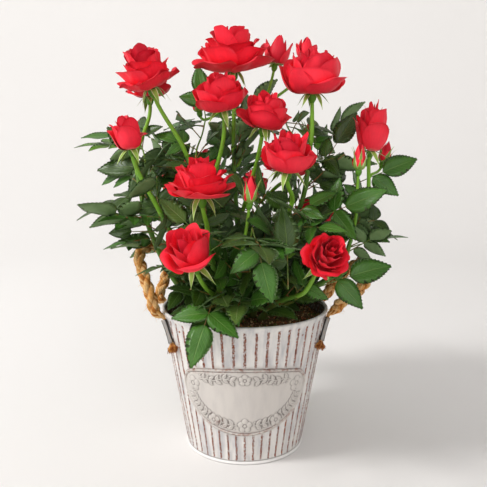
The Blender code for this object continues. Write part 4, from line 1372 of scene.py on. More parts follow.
def dealing_tree():
    """Stands a template on each point, turned, sized and picked by what the point carries."""
    tree, entry = start_tree(
        "dealt_pieces", Points="Geometry", Templates="Collection", Finish="Material", Under="Material"
    )
    turn, size, pick, under = (
        add(tree, "GeometryNodeInputNamedAttribute", {"data_type": kind, "Name": name}).outputs[0]
        for name, kind in (("turn", "QUATERNION"), ("size", "FLOAT"), ("pick", "INT"), ("under", "BOOLEAN"))
    )
    upper = stood(tree, entry["Points"], entry["Templates"], pick, turn, size, entry["Finish"])
    links = {"Geometry": upper.outputs[0], "Selection": under, "Material": entry["Under"]}
    lower = add(tree, "GeometryNodeSetMaterial", {}, links)
    add(tree, "NodeGroupOutput", {}, {"Result": lower.outputs[0]})
    return tree


def dealt(name, tree, spots, group, finish, under):
    """One piece of templates stood at the spots, each (place, turn, size, pick)."""
    mesh = bpy.data.meshes.new(name)
    places, turns, sizes, picks = zip(*spots)
    mesh.from_pydata([tuple(place) for place in places], [], [])
    flat_turns = np.array([tuple(turn) for turn in turns], np.float32).ravel()
    for label, kind, values in (
        ("turn", "QUATERNION", flat_turns),
        ("size", "FLOAT", sizes),
        ("pick", "INT", picks),
    ):
        mesh.attributes.new(label, kind, "POINT").data.foreach_set("value", values)
    host = bpy.data.objects.new(name, mesh)
    bpy.context.scene.collection.objects.link(host)
    return grow(host, tree, {"Templates": group, "Finish": finish, "Under": under})


def standing(along, face):
    """The turn that lays a template's Y along a direction with its Z towards a face's normal."""
    across = along.cross(face).normalized()
    up = across.cross(along).normalized()
    return Matrix((across, along.normalized(), up)).transposed().to_quaternion()


class ROSE_OT_canes(bpy.types.Operator):
    """Make the canes with their bark, joints and prickles"""

    bl_idname = "rose.canes"
    bl_label = "Canes"

    def execute(self, context):
        bark = green_bark("green_cane_bark", "5E5A30", "5C8A2E", 118 * MM, 175 * MM)
        gathered = Gathered()
        chance = random.Random(31)
        spots = []
        for number, name in enumerate(CANES):
            path = cane_curve(name, 10)
            path[0] = path[0] - UP * 1.2 * MM
            last = len(path) - 1
            joint = chance.uniform(0, 9)
            radii = []
            for i in range(last + 1):
                # A joint swells the cane a little every nine rows, about 20 mm
                swell = exp(-(((i + joint) % 9 - 4.5) / 0.8) ** 2) * 0.10
                flare = 0.35 * exp(-i / 2.0)
                radii.append(cane_radius(i / last) * (1 + swell + flare))
            limb(gathered, path, radii, 12, 0, relief=0.07, seed=number)
            rows = frames_along(path)
            for _ in range(context.scene.rose_plant.prickles // len(CANES)):
                i = chance.randrange(3, last - 1)
                ahead, u, v = rows[i]
                angle = chance.uniform(0, tau)
                out = u * cos(angle) + v * sin(angle)
                spot = path[i] + out * radii[i] * 0.9
                spots.append((spot, standing(ahead, out), chance.uniform(1.6, 2.6) * MM, 0))
        nodes = ["cane_" + name for name in CANES]
        settle(gathered.piece("cane_bark", [bark]), "cane", *nodes)
        thorn = plain_green("red_brown_prickle", "8A4A2C", 0.45)
        group = collected("prickle_templates", [prickle_template()])
        prickles = dealt("cane_prickles", dealing_tree(), spots, group, thorn, thorn)
        cleared(group)
        settle(prickles, "cane")
        return {"FINISHED"}


# Flowers

# A head's whorls from the outermost in: its petals, the four control points of a petal's line as
# (share of the half width, share of the height), the petal's half angle in degrees, how far its rim
# rolls back and how much it ruffles
WHORLS = {
    "open": [
        (5, [(0.10, 0.00), (0.64, -0.04), (0.90, 0.16), (1.04, 0.40)], 50, 0.9, 1.0),
        (5, [(0.10, 0.02), (0.68, -0.02), (0.84, 0.36), (0.90, 0.64)], 54, 0.9, 0.9),
        (5, [(0.08, 0.03), (0.60, 0.04), (0.64, 0.56), (0.70, 0.80)], 56, 0.8, 0.7),
        (4, [(0.06, 0.04), (0.46, 0.08), (0.48, 0.72), (0.50, 0.96)], 66, 0.6, 0.5),
        (4, [(0.04, 0.05), (0.28, 0.18), (0.34, 0.80), (0.28, 1.02)], 78, 0.4, 0.4),
        (3, [(0.02, 0.06), (0.12, 0.30), (0.17, 0.80), (0.08, 1.00)], 104, 0.1, 0.2),
    ],
    "cup": [
        (4, [(0.10, 0.00), (0.96, -0.10), (0.98, 0.40), (0.98, 0.72)], 58, 0.9, 0.8),
        (4, [(0.10, 0.02), (0.92, -0.04), (0.86, 0.56), (0.82, 0.86)], 58, 0.8, 0.7),
        (4, [(0.08, 0.03), (0.74, 0.06), (0.64, 0.72), (0.62, 0.98)], 64, 0.6, 0.5),
        (4, [(0.06, 0.04), (0.48, 0.12), (0.44, 0.80), (0.38, 1.02)], 72, 0.4, 0.4),
        (3, [(0.02, 0.06), (0.16, 0.26), (0.22, 0.80), (0.12, 1.00)], 100, 0.2, 0.2),
    ],
    "goblet": [
        (3, [(0.14, 0.00), (1.02, -0.04), (0.66, 0.56), (1.04, 0.80)], 66, 1.1, 0.5),
        (4, [(0.12, 0.02), (0.98, 0.04), (0.56, 0.70), (0.82, 0.96)], 62, 0.8, 0.4),
        (4, [(0.10, 0.03), (0.72, 0.12), (0.44, 0.80), (0.52, 1.02)], 70, 0.5, 0.3),
        (3, [(0.06, 0.04), (0.40, 0.20), (0.28, 0.84), (0.26, 1.04)], 92, 0.2, 0.2),
        (2, [(0.02, 0.06), (0.12, 0.30), (0.12, 0.80), (0.04, 0.98)], 120, 0.0, 0.1),
    ],
    "young": [
        (2, [(0.30, 0.00), (1.25, 0.02), (1.02, 0.55), (1.05, 0.84)], 72, 0.9, 0.3),
        (3, [(0.24, 0.01), (1.20, 0.04), (0.80, 0.62), (0.44, 0.98)], 78, 0.5, 0.2),
        (2, [(0.10, 0.04), (0.80, 0.12), (0.50, 0.80), (0.06, 1.02)], 120, 0.0, 0.1),
    ],
    "bud": [
        (3, [(0.30, 0.00), (1.10, 0.02), (0.78, 0.66), (0.12, 0.98)], 84, 0.1, 0.1),
        (2, [(0.15, 0.02), (0.95, 0.08), (0.66, 0.70), (0.08, 1.00)], 120, 0.0, 0.0),
    ],
}
# How far a petal's sides fall short of its middle, and the power that rounds its tip
PETAL_TIPS = {
    "open": (0.26, 2.2),
    "cup": (0.30, 2.1),
    "goblet": (0.34, 1.9),
    "young": (0.44, 1.7),
    "bud": (0.5, 1.5),
}
# The half width of a head's petals before their rims roll out, as a share of its solid's
HEAD_SHARES = {"open": 0.93, "cup": 0.94, "goblet": 0.97, "young": 1.0, "bud": 1.0}
SEPAL_LEANS = {"open": 150, "cup": 146, "goblet": 138, "young": 112, "bud": 10}


def head_frame(centre, facing, height):
    """Matrix that stands a head, drawn upright with its petals' foot at the origin, in its place."""
    axis = Vector(facing).normalized()
    turn = UP.rotation_difference(axis).to_matrix().to_4x4()
    foot = Vector(centre) * MM - axis * height * 0.5
    return Matrix.Translation(foot) @ turn


def bezier(line, t):
    """The place at a share of a curve of four control points."""
    w = (1 - t) ** 3, 3 * t * (1 - t) ** 2, 3 * t * t * (1 - t), t**3
    return sum(p[0] * k for p, k in zip(line, w)), sum(p[1] * k for p, k in zip(line, w))


def petal(gathered, frame_matrix, half, height, whorl, tip, turn, chance, tint):
    """One petal: a round-tipped sheet bowed about the head's axis. Its rim rolls back and ruffles."""
    rows, columns = 12, 14
    _, line, half_angle, curl, ruffle = whorl
    short, power = tip
    reach = radians(half_angle) * chance.uniform(0.86, 1.12)
    tall = chance.uniform(0.90, 1.05)
    wide = chance.uniform(0.92, 1.08)
    tilt = chance.uniform(-0.08, 0.08)
    curl *= chance.uniform(0.4, 1.5)
    phase = chance.uniform(0, tau)
    waves = chance.uniform(0.9, 2.1)
    fold = chance.uniform(-0.04, 0.10) * ruffle
    points = []
    places = []
    for row in range(rows + 1):
        v = row / rows
        roll = max(0.0, (v - 0.68) / 0.32) ** 2
        rim = float(smooth_step(v, 0.40, 0.95))
        spread = reach * (0.38 + 0.62 * sin(pi / 2 * min(v / 0.6, 1.0))) * (1 - 0.16 * roll)
        for column in range(columns + 1):
            u = 2 * column / columns - 1
            corner = u**4 * rim
            t = v * (1 - short * abs(u) ** power - 0.04 * ruffle * exp(-((u / 0.25) ** 2)))
            radius, rise = bezier(line, t)
            radius *= half * wide * (1 + 0.08 * u)
            rise *= height * tall
            radius += half * curl * (0.11 * roll * (1 - corner) + 0.04 * corner)
            rise -= height * curl * (0.11 * roll * (1 - corner) + 0.03 * corner)
            rise += height * 0.04 * ruffle * sin(waves * pi * u + phase) * rim
            radius += half * 0.07 * ruffle * cos(waves * pi * u * 1.4 + phase * 2) * rim
            radius -= half * fold * exp(-((u / 0.22) ** 2)) * v
            rise += height * tilt * u * v
            angle = turn + u * spread
            place = Vector((radius * sin(angle), -radius * cos(angle), rise))
            place += noise.noise_vector(place * 60 + Vector((phase, 0, 0))) * half * 0.07 * v
            points.append(frame_matrix @ place)
            places.append((column / columns, v))
    gathered.add(points, quads(rows, columns), tint, places)


def flared(whorl, flare):
    """A whorl whose petals lean further out: their rims move outward and down by a share."""
    count, line, half_angle, curl, ruffle = whorl
    (r0, z0), (r1, z1), (r2, z2), (r3, z3) = line
    rim = (r2 + 0.12 * flare, z2 - 0.12 * flare), (r3 + 0.30 * flare, z3 - 0.36 * flare)
    return count, [(r0, z0), (r1, z1), *rim], half_angle, curl, ruffle


def flower(gathered, frame_matrix, kind, half, height, chance, start):
    """A whole head of petals, whorl by whorl. A few of the outermost lean out further than the rest."""
    whorls = WHORLS[kind]
    for depth, whorl in enumerate(whorls):
        count = whorl[0]
        start += GOLDEN_ANGLE / 2
        inner = depth / (len(whorls) - 1)
        for k in range(count):
            turn = start + tau * k / count + radians(chance.uniform(-18, 18))
            tint = chance.choice((0, 0, 1)) if inner < 0.45 else chance.choice((0, 1, 1, 2))
            flare = 0.0
            if kind in ("cup", "goblet") and depth < 2:
                flare = chance.choice(((0.0, 0.2, 0.7), (0.0, 0.0, 0.3))[depth])
            bent = flared(whorl, flare)
            petal(gathered, frame_matrix, half, height, bent, PETAL_TIPS[kind], turn, chance, tint)


def sepal_rows(kind, hip, half, height, length, lean, chance):
    """The middle line of a sepal as (out, up, slope) from its foot to its tip."""
    rows = 9
    line = []
    if kind == "bud":
        # On a closed bud the sepals lie along the petals and only their tips stand free
        outer = WHORLS["bud"][0][1]
        for row in range(rows + 1):
            t = row / rows
            radius, rise = bezier(outer, min(t * 0.72, 1.0))
            free = max(0.0, t - 0.66) / 0.34
            out = radius * half * 1.10 + free**2 * half * 0.75
            line.append((out, rise * height - 0.25 * hip + free * height * 0.16, 0.0))
        return line
    curl = chance.uniform(-0.30, 0.35)
    out, up = hip * 0.85, -hip * 0.1
    angle = radians(60)
    for row in range(rows + 1):
        t = row / rows
        line.append((out, up, angle))
        goal = radians(lean) + curl * t
        angle += (goal - angle) * 0.45
        out += sin(angle) * length / rows
        up += cos(angle) * length / rows
    return line


def sepal(gathered, frame_matrix, line, wide, turn, sway):
    """One sepal: a keeled blade that runs out into a fine tip, with a whitish downy edge on both sides."""
    points = []
    rows = len(line) - 1
    for row, (out, up, angle) in enumerate(line):
        t = row / rows
        width = wide * sin(pi * min(t * 0.70 + 0.30, 1.0)) ** 0.9 * (1 - t**3) + 0.10 * MM
        for u in (-1.0, -0.72, 0.0, 0.72, 1.0):
            keel = -abs(u) * width * 0.28
            x = out + cos(angle) * keel
            across = u * width
            reach = max(x, wide * 0.9)
            beta = across / reach
            points.append((x * cos(beta), reach * sin(beta) + sway * t * t, up - sin(angle) * keel))
    spun = Matrix.Rotation(turn, 4, "Z")
    points = [frame_matrix @ spun @ Vector(p) for p in points]
    middle = []
    rim = []
    for row in range(rows):
        for column in range(4):
            a = row * 5 + column
            (rim if column in (0, 3) else middle).append((a, a + 1, a + 6, a + 5))
    start = len(gathered.points)
    gathered.add(points, middle, 0)
    # The pale edges share the blade's points
    gathered.faces += [tuple(start + k for k in face) for face in rim]
    gathered.kinds += [1] * len(rim)


def hip_shape(gathered, frame_matrix, hip):
    """The swollen cup under the petals."""
    rings = [(0.5, -2.3), (0.62, -2.1), (0.92, -1.6), (1.06, -1.0), (1.0, -0.45), (0.82, -0.1), (0.9, 0.15)]
    sides = 14
    points = []
    for out, up in rings:
        points += [frame_matrix @ place for place in ring(out * hip, up * hip, sides)]
    gathered.add(points, quads(len(rings) - 1, sides, True), 2)


def stalk_of(carrier, share, neck, axis, hip, thick):
    """The places along a shoot's first stalk, from its cane to the hip of its head."""
    start, away = leave_cane(carrier, share, neck, thick)
    return start + bend(start[-1], away, neck + axis * hip * 0.6, axis, 16)


class ROSE_OT_flowers(bpy.types.Operator):
    """Make each head's petals, sepals, hip and stalk"""

    bl_idname = "rose.flowers"
    bl_label = "Flowers"

    def execute(self, context):
        code = context.scene.rose_plant.petal
        # Without a seed the petals' noise starts from the clock, and no two runs are alike
        noise.seed_set(PETAL_NOISE_SEED)
        petals, greens, stalks = Gathered(), Gathered(), Gathered()
        for number, (name, (carrier, share, heads)) in enumerate(SHOOTS.items()):
            stalk = []
            for index, (kind, centre, width, height, facing) in enumerate(heads):
                chance = random.Random(number * 10 + index)
                matrix = head_frame(centre, facing, height * MM)
                axis = Vector(facing).normalized()
                hip = max(2.5, min(3.4, width * 0.09)) * MM
                neck = matrix @ Vector((0, 0, -hip * 2.1))
                thick = STALK_RADIUS * (1.15 if width > 20 else 0.85)
                if index == 0:
                    stalk = stalk_of(carrier, share, neck, axis, hip, thick)
                    path = stalk
                else:
                    # The solid's stalk forks at its fourth place, halfway up
                    fork = stalk[10]
                    along = (stalk[11] - fork).normalized()
                    path = [fork] + bend(fork, along, neck + axis * hip * 0.6, axis, 12)
                radii = tapering(thick, 1.08, 0.2, len(path))
                limb(stalks, path, radii, 9, 0, relief=0.05, seed=number)
                look = "young" if kind == "bud" and width > 15 else kind
                half = width / 2 * MM * HEAD_SHARES[look]
                flower(petals, matrix, look, half, height * MM, chance, chance.uniform(0, tau))
                long = min(max(height * 0.60, 11.0), 17.0) * MM
                for k in range(5):
                    turn = radians(72 * k + chance.uniform(-10, 10)) + number
                    lean = SEPAL_LEANS[look] + chance.uniform(-14, 14)
                    length = long * chance.uniform(0.85, 1.15)
                    line = sepal_rows(look, hip, half, height * MM, length, lean, chance)
                    wide = half * 0.52 if look == "bud" else 2.3 * MM
                    sepal(greens, matrix, line, wide, turn, chance.uniform(-0.12, 0.12) * length)
                hip_shape(greens, matrix, hip)
        finishes = [
            velvet_petal("bright_rose_petal", code, "F49A98"),
            velvet_petal("full_rose_petal", "FA2A40", "F08A8E"),
            velvet_petal("deep_rose_petal", "D81A32", "E06A72"),
        ]
        nodes = ["rose_" + name for name in SHOOTS]
        settle(petals.piece("rose_petals", finishes), "rose", *nodes)
        green = [
            plain_green("sepal_green", "8FB04E"),
            plain_green("sepal_pale_edge", "D3DCA6"),
            plain_green("hip_green", "5E9428", 0.45),
        ]
        settle(greens.piece("rose_sepals_and_hips", green), "leaf")
        bark = green_bark("young_flower_stalk", "6E9A30", "7AB02E", 150 * MM, 210 * MM)
        settle(stalks.piece("flower_stalks", [bark]), "cane")
        return {"FINISHED"}


# Leaves

LEAF_TINTS = ["deep_green_leaf", "grown_green_leaf", "grey_green_leaf", "young_green_leaf"]
LEAF_TINT_WEIGHTS = (38, 38, 19, 5)
LEAF_VARIANTS = 12
# Stretches of a leaf stalk
RACHIS_ROWS = 6
# An added leaf keeps this many mm from the outline of a flower that it would stand in front of.
# Flowers further back than this are free to be hidden
HEAD_MARGIN = 6
REAR_HEADS = 20 * MM
# How far a leaflet's tip may pass its mass's box: one of the solid's, and one that is added
SOLID_SPARE = 12 * MM
ADDED_SPARE = 6 * MM
# How far inside the reach of all masses the leaves on the canes stay
CANE_LEAF_INSET = 0.02


def leaflet_width(s):
    """Half the width of a leaflet at a share of its length, as a share of that length."""
    return 0.84 * s**0.60 * (1 - s) ** 1.12


def leaflet_template(number):
    """One leaflet a metre long along Y, facing Z: toothed, ovate, folded, drooping and a little wavy."""
    chance = random.Random(LEAFLET_SHAPE_SEED + number)
    fold = chance.uniform(0.10, 0.30)
    droop = chance.uniform(0.02, 0.20)
    side = chance.uniform(-0.05, 0.05)
    wave = chance.uniform(0.010, 0.028)
    phase = chance.uniform(0, 6)
    stations = 12
    thin = 0.006

    def bent(x, y):
        """The blade's surface over a place on its plan."""
        lift = abs(x) * fold - droop * y * y + wave * sin(9 * y + phase) * abs(x) / 0.3
        return Vector((x + side * y * y, y * (1 - 0.25 * droop * y), lift))

    points = []
    places = []
    for i in range(stations + 1):
        s = 0.015 + 0.97 * i / stations
        half = leaflet_width(s)
        ridge = 0.006 * (-1) ** i
        for share in (-1.0, -0.5, 0.0, 0.5, 1.0):
            # Rows lean towards the tip as the side veins do
            y = min(s + 0.07 * abs(share) * (1 - s), 0.999)
            x = share * (leaflet_width(y) if abs(share) == 1.0 else half)
            place = bent(x, y)
            if abs(share) == 0.5:
                place.z += ridge
            points.append(place)
            places.append((0.5 + share / 2, y))
    top = len(points)
    for i in range(stations + 1):
        for k in (1, 2, 3):
            points.append(points[i * 5 + k] - Vector((0, 0, thin * (2.2 if k == 2 else 1.0))))
            places.append(places[i * 5 + k])
    under = {}
    for i in range(stations + 1):
        under[i * 5] = i * 5
        under[i * 5 + 4] = i * 5 + 4
        for k in (1, 2, 3):
            under[i * 5 + k] = top + i * 3 + k - 1
    faces = []
    below = []
    for i in range(stations):
        teeth = {}
        for edge, way in ((0, -1), (4, 1)):
            a = i * 5 + edge
            teeth[edge] = len(points)
            points.append(points[a].lerp(points[a + 5], 0.82) + Vector((way * 0.020, 0.012, 0.0)))
            places.append((0.5 + way / 2, places[a + 5][1]))
        for k in range(4):
            a = i * 5 + k
            loop = [a, a + 1, a + 6, a + 5]
            if k == 0:
                loop.append(teeth[0])
            if k == 3:
                loop.insert(2, teeth[4])
            faces.append(tuple(loop))
            below.append(tuple(under.get(v, v) for v in reversed(loop)))
    first = list(range(5))
    last = [stations * 5 + k for k in reversed(first)]
    for edge, y in ((first, 0.0), (last, 1.0)):
        end = len(points)
        points.append(bent(0.0, y))
        places.append((0.5, y))
        for a, b in zip(edge, edge[1:]):
            faces.append((end, b, a))
            below.append((end, under[a], under[b]))
    gathered = Gathered()
    gathered.add(points, faces + below, 0, places)
    made = gathered.piece(f"leaflet_{number:02d}", [])
    lower = made.data.attributes.new("under", "BOOLEAN", "FACE")
    lower.data.foreach_set("value", [False] * len(faces) + [True] * len(below))
    bpy.context.scene.collection.objects.unlink(made)
    return made


def leaflet_shape(root, along, face, length):
    """The plain outline of a leaflet, for a clearance test."""
    across = along.cross(face).normalized()
    plan = ((0, 0), (0.30, 0.29), (0.62, 0.29), (1, 0), (0.62, -0.29), (0.30, -0.29))
    points = [root + along * length * s + across * length * w for s, w in plan]
    return points, [(0, 1, 5), (1, 2, 4, 5), (2, 3, 4)]


def compound_leaf(root, along, face, length, pairs, chance):
    """A leaf: its rachis path, and each leaflet as (root, along, face, length)."""
    across = along.cross(face).normalized()
    stem = length * (LEAF_NECK + LEAF_PITCH * pairs)
    sag = length * 0.10
    shares = [i / RACHIS_ROWS for i in range(RACHIS_ROWS + 1)]
    path = [root + along * stem * t - face * sag * t * t for t in shares]
    leaflets = []
    middle = root + along * stem * 0.5 - face * sag * 0.25
    end = (path[-1] - middle).normalized()
    leaflets.append((path[-1] - end * 0.8 * MM, end, face, length))
    for pair in range(pairs):
        t = 1 - (LEAF_NECK * 0.8 + LEAF_PITCH * pair) * length / stem
        at = root + along * stem * t - face * sag * t * t
        for hand in (-1, 1):
            spread = radians(68 + chance.uniform(-8, 8))
            way = end * cos(spread) + across * hand * sin(spread)
            way += face * chance.uniform(-0.1, 0.18)
            size = length * (0.86 - 0.12 * pair) * chance.uniform(0.92, 1.05)
            leaflets.append((at, way.normalized(), face, size))
    return path, leaflets


def leaf_directions(twig, share, turn, chance, lift=0.75):
    """Where a leaf leaves its twig, the way it points and the way its face looks: up by the lift, and out."""
    at = share * (len(twig) - 1)
    i = min(int(at), len(twig) - 2)
    place = twig[i].lerp(twig[i + 1], at - i)
    ahead = (twig[i + 1] - twig[i]).normalized()
    side = ahead.orthogonal().normalized()
    side = Matrix.Rotation(turn, 3, ahead) @ side
    outward = Vector((place.x, place.y, 0.0)).normalized()
    along = (ahead * 0.55 + side * 0.8 + outward * 0.5 + UP * chance.uniform(-0.1, 0.2)).normalized()
    look = UP * lift + outward * 0.75 + Vector((chance.uniform(-0.3, 0.3), chance.uniform(-0.3, 0.3), 0.0))
    look = (look - along * look.dot(along)).normalized()
    return place, along, look


def mass_twig(name):
    """The places of a mass's twig as its solid has them, from outside its cane's bark."""
    carrier, share, reach, points_to, _, _, _, _ = MASSES[name]
    target = Vector(reach) * MM
    start, away = leave_cane(carrier, share, target, TWIG_RADIUS)
    start = start[1:]
    arrive = (target - start[-1]).normalized() * 0.6 + Vector(points_to).normalized() * 0.4
    return start + bend(start[-1], away, target, arrive, 3)


def mass_plan(name, twig, seed):
    """The leaves that a mass's solid has, as the rule lays them out."""
    _, _, _, points_to, pairs, leaves, size, faces_to = MASSES[name]
    chance = random.Random(seed)
    way = Vector(points_to).normalized()
    plans = []
    turn = chance.uniform(0, tau)
    for k in range(leaves):
        turn += GOLDEN_ANGLE
        along_share = 0.38 + 0.5 * k / max(leaves - 1, 1)
        place, along, face = leaf_directions(twig, along_share, turn, chance)
        length = LEAFLET_LENGTH * size * chance.uniform(0.9, 1.05)
        plans.append(compound_leaf(place, along, face, length, 2, chance))
    face = Vector(faces_to)
    face = (face - way * face.dot(way)).normalized()
    plans.append(compound_leaf(twig[-1], way, face, LEAFLET_LENGTH * size, pairs, chance))
    return plans


def spiral(path, shares, size, lifts, lengths, seed):
    """Leaves at shares of a path, in a spiral round it, each on a finer stalk than the solid's."""
    chance = random.Random(seed)
    plans = []
    turn = chance.uniform(0, tau)
    for share in shares:
        turn += GOLDEN_ANGLE
        place, along, face = leaf_directions(path, share, turn, chance, chance.uniform(*lifts))
        length = LEAFLET_LENGTH * size * chance.uniform(*lengths)
        plans.append(compound_leaf(place, along, face, length, chance.choice((1, 1, 2)), chance))
    return plans


def finer_plan(name, twig, count, seed):
    """The leaves that the rule adds between those of the solid."""
    shares = [0.22 + 0.74 * (k + 0.5) / count for k in range(count)]
    return spiral(twig, shares, MASSES[name][6], (0.7, 1.8), (0.75, 0.98), seed)


def cane_plan(name, spacing, seed, crowding):
    """The leaves on a cane, one at each joint. The joints crowd towards its foot."""
    path = cane_curve(name, 8)
    count = int(sum((b - a).length for a, b in zip(path[:-1], path[1:])) / spacing)
    shares = [((k + 0.7) / (count + 0.3)) ** crowding for k in range(count)]
    return spiral(path, shares, 1.0, (0.5, 1.6), (0.72, 1.05), seed)


def limb_trees():
    """Clearance trees of everything that a leaf has to miss."""
    found = []
    for name, node in frame["nodes"].items():
        if not name.startswith("leaves_"):
            points = [tuple(v.co) for v in node.data.vertices]
            found.append(BVHTree.FromPolygons(points, [tuple(p.vertices) for p in node.data.polygons]))
    return found


def within(place, box, spare):
    """Whether a place lies in a box that is wider by the spare room on every side."""
    low, high = box
    return all(low[k] - spare < place[k] < high[k] + spare for k in range(3))


def hides_a_head(place):
    """Whether a place lies in front of a flower, where a leaf would hide it from the plaque's side."""
    for _, _, heads in SHOOTS.values():
        for _, centre, width, height, _ in heads:
            spot = Vector(centre) * MM
            beside = abs(place.x - spot.x) < (width * 0.5 + HEAD_MARGIN) * MM
            level = abs(place.z - spot.z) < (height * 0.5 + HEAD_MARGIN) * MM
            if beside and level and place.y < spot.y < REAR_HEADS:
                return True
    return False


def in_the_open(place):
    """Whether a place lies over the bare compost at the front right, or beside a rope handle."""
    open_soil = place.z < 130 * MM and -10 * MM < place.x < 90 * MM and place.y < -10 * MM
    by_handle = place.z < 176 * MM and abs(place.x) > 63 * MM
    return open_soil or by_handle


class ROSE_OT_leaves(bpy.types.Operator):
    """Grow every mass and the leaves on the canes: twigs, leaf stalks and toothed leaflets"""

    bl_idname = "rose.leaves"
    bl_label = "Leaves"

    def execute(self, context):
        settings = context.scene.rose_plant
        limbs = limb_trees()
        twigs = Gathered()
        spots = [[] for _ in LEAF_TINTS]

        def grow_leaves(plans, box, chance):
            """Adds the leaves that keep clear, each as (leaf, spare room, whether it is the solid's)."""
            own = []
            for (path, leaflets), spare, solid in plans:
                tint = chance.choices(range(len(LEAF_TINTS)), weights=LEAF_TINT_WEIGHTS)[0]
                kept = []
                for root, along, face, length in leaflets:
                    tip = root + along * length
                    if not within(tip, box, spare):
                        continue
                    middle = (root + tip) / 2
                    if not solid and any(hides_a_head(p) or in_the_open(p) for p in (root, middle, tip)):
                        continue
                    outline, faces = leaflet_shape(root, along, face, length)
                    tree = BVHTree.FromPolygons([tuple(p) for p in outline], faces)
                    if any(tree.overlap(other) for other in limbs + own):
                        continue
                    kept.append(tree)
                    turn = standing(along, face)
                    spots[tint].append((root, turn, length, chance.randrange(LEAF_VARIANTS)))
                if kept:
                    own += kept
                    limb(twigs, path, tapering(RACHIS_RADIUS, 0.85, 0.35, len(path)), 5, 0)

        for number, name in enumerate(MASSES):
            twig = mass_twig(name)
            place, _, _ = on_cane(MASSES[name][0], MASSES[name][1])
            fine = smooth_curve([place] + twig, 5)
            limb(twigs, fine, tapering(TWIG_RADIUS, 1.0, 0.4, len(fine)), 7, 1)
            added = finer_plan(name, twig, settings.finer_leaves, FINER_LEAF_SEED + number)
            plans = [(plan, SOLID_SPARE, True) for plan in mass_plan(name, twig, FIRST_MASS_SEED + number)]
            plans += [(plan, ADDED_SPARE, False) for plan in added]
            grow_leaves(plans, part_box("leaves_" + name), random.Random(MASS_PICK_SEED + number))
        # The leaves on the canes stay within the reach of the masses about them
        boxes = [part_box("leaves_" + name) for name in MASSES]
        low = [min(box[0][k] for box in boxes) + CANE_LEAF_INSET for k in range(3)]
        high = [max(box[1][k] for box in boxes) - CANE_LEAF_INSET for k in range(3)]
        spacing = settings.joint_spacing
        for number, name in enumerate(CANES):
            added = cane_plan(name, spacing, CANE_LEAF_SEED + number, 1.25)
            added += cane_plan(name, 1.8 * spacing, LOW_CANE_LEAF_SEED + number, 2.2)
            plans = [(plan, 0.0, False) for plan in added]
            grow_leaves(plans, (low, high), random.Random(CANE_PICK_SEED + number))
        skin = green_bark("twig_bark", "6A6A2E", "6C9430", 120 * MM, 240 * MM)
        settle(twigs.piece("leaf_twigs", [petiole_skin(), skin]), "cane")
        uppers = [
            waxy_leaf("deep_green_leaf", "375415", "64803A", 0.38),
            waxy_leaf("grown_green_leaf", settings.leaf, "74984A", 0.36),
            waxy_leaf("grey_green_leaf", "55732D", "8A9E62", 0.44),
            waxy_leaf("young_green_leaf", "669524", "94B458", 0.42),
        ]
        under = plain_green("leaf_underside", "6E8A58", 0.62)
        group = collected("leaflet_templates", [leaflet_template(k) for k in range(LEAF_VARIANTS)])
        tree = dealing_tree()
        nodes = ["leaves_" + name for name in MASSES]
        for name, places, finish in zip(LEAF_TINTS, spots, uppers):
            settle(dealt(name + "s", tree, places, group, finish, under), "leaf", *nodes)
            nodes = []
        cleared(group)
        return {"FINISHED"}


# Stage

# The camera fitted to the photo: focal length and picture's width in pixels, place, and degrees down
FOCAL_LENGTH = 640
PICTURE_WIDTH = 487
SENSOR_WIDTH = 36
CAMERA_PLACE = (-0.001, -0.529, 0.256)
CAMERA_DOWN = 9.0


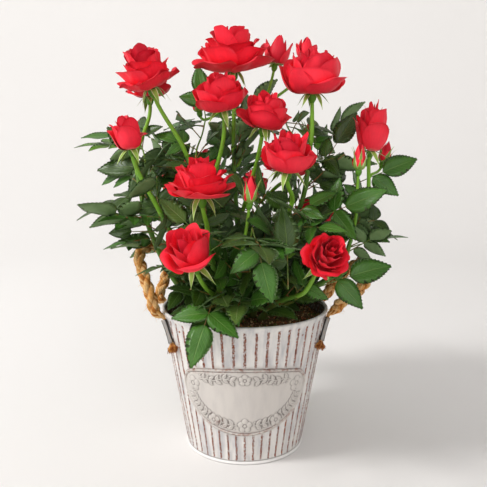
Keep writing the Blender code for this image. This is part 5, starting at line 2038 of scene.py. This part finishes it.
class ROSE_OT_stage(bpy.types.Operator):
    """Make the pale floor with its swept-up edge, the lights and the camera"""

    bl_idname = "rose.stage"
    bl_label = "Floor, lights and camera"

    def execute(self, context):
        settings = context.scene.rose_stage
        made, _, shader = start_finish("matt_studio_paper", {"Roughness": 0.9, "Specular IOR Level": 0.1})
        shader.inputs["Base Color"].default_value = linear(settings.floor)
        sweep, wide, top, sides = 0.9, 1.9, 1.7, 72
        rings = [(0.02, 0.0), (0.5, 0.0)]
        rings += [(wide - sweep + sweep * sin(a), sweep * (1 - cos(a))) for a in np.linspace(0, pi / 2, 14)]
        rings += [(wide, top)]
        points = [place for radius, height in rings for place in ring(radius, height, sides)]
        gathered = Gathered()
        gathered.add(points, quads(len(rings) - 1, sides, True) + [tuple(range(sides))])
        gathered.piece("studio_floor", [made])
        for name, power, size, place, aim, colour in (
            ("key_light", settings.key_power, 0.5, (-1.42, -0.66, 1.60), (0, 0, 0.15), "FFFEFD"),
            ("fill_light", settings.key_power * 0.28, 1.4, (0.1, -1.7, 1.0), (0, 0, 0.20), "F8FAFF"),
            ("backdrop_light", settings.key_power * 0.20, 1.2, (-0.4, 0.6, 1.5), (-0.3, 1.9, 0.55), "FFFFFF"),
        ):
            lamp = bpy.data.lights.new(name, "AREA")
            lamp.energy = power
            lamp.size = size
            lamp.color = linear(colour)[:3]
            light = bpy.data.objects.new(name, lamp)
            light.location = place
            light.rotation_euler = (Vector(aim) - Vector(place)).to_track_quat("-Z", "Y").to_euler()
            context.scene.collection.objects.link(light)
        world = bpy.data.worlds.new("pale_sky")
        world.use_nodes = True
        sky = world.node_tree.nodes["Background"]
        sky.inputs["Color"].default_value = linear("FAF9F8")
        sky.inputs["Strength"].default_value = settings.sky_strength
        context.scene.world = world
        context.scene.view_settings.view_transform = "Standard"
        data = bpy.data.cameras.new("camera")
        data.lens = FOCAL_LENGTH / PICTURE_WIDTH * SENSOR_WIDTH
        data.sensor_width = SENSOR_WIDTH
        camera = bpy.data.objects.new("camera", data)
        camera.location = CAMERA_PLACE
        camera.rotation_euler = (radians(90 - CAMERA_DOWN), 0.0, 0.0)
        context.scene.collection.objects.link(camera)
        context.scene.camera = camera
        return {"FINISHED"}


class ROSE_PT_panel(bpy.types.Panel):
    """The rose's steps, in the order in which they are made"""

    bl_idname = "ROSE_PT_panel"
    bl_label = "Patio rose"
    bl_space_type = "VIEW_3D"
    bl_region_type = "UI"
    bl_category = "Rose"

    def draw(self, context):
        scene = context.scene
        for title, settings, operators in (
            ("Bucket", scene.rose_bucket, ("rose.bucket", "rose.compost")),
            ("Handles", scene.rose_handles, ("rose.handles",)),
            ("Plant", scene.rose_plant, ("rose.canes", "rose.flowers", "rose.leaves")),
            ("Stage", scene.rose_stage, ("rose.stage",)),
        ):
            box = self.layout.box()
            box.label(text=title)
            for name in settings.bl_rna.properties.keys():
                if name not in ("rna_type", "name"):
                    box.prop(settings, name)
            for operator in operators:
                box.operator(operator)


SETTINGS = {
    "rose_bucket": RoseBucketSettings,
    "rose_handles": RoseHandleSettings,
    "rose_plant": RosePlantSettings,
    "rose_stage": RoseStageSettings,
}
CLASSES = (
    ROSE_OT_bucket,
    ROSE_OT_compost,
    ROSE_OT_handles,
    ROSE_OT_canes,
    ROSE_OT_flowers,
    ROSE_OT_leaves,
    ROSE_OT_stage,
    ROSE_PT_panel,
)


def register():
    """Adds the settings, the operators and the panel."""
    for name, group in SETTINGS.items():
        bpy.utils.register_class(group)
        setattr(bpy.types.Scene, name, bpy.props.PointerProperty(type=group))
    for made in CLASSES:
        bpy.utils.register_class(made)


def unregister():
    """Takes away what register added."""
    for made in reversed(CLASSES):
        bpy.utils.unregister_class(made)
    for name, group in SETTINGS.items():
        delattr(bpy.types.Scene, name)
        bpy.utils.unregister_class(group)


def main():
    """Makes every piece in order."""
    register()
    bpy.ops.rose.bucket()
    bpy.ops.rose.compost()
    bpy.ops.rose.handles()
    bpy.ops.rose.canes()
    bpy.ops.rose.flowers()
    bpy.ops.rose.leaves()
    bpy.ops.rose.stage()
    bpy.context.view_layer.update()


if __name__ == "__main__":
    main()
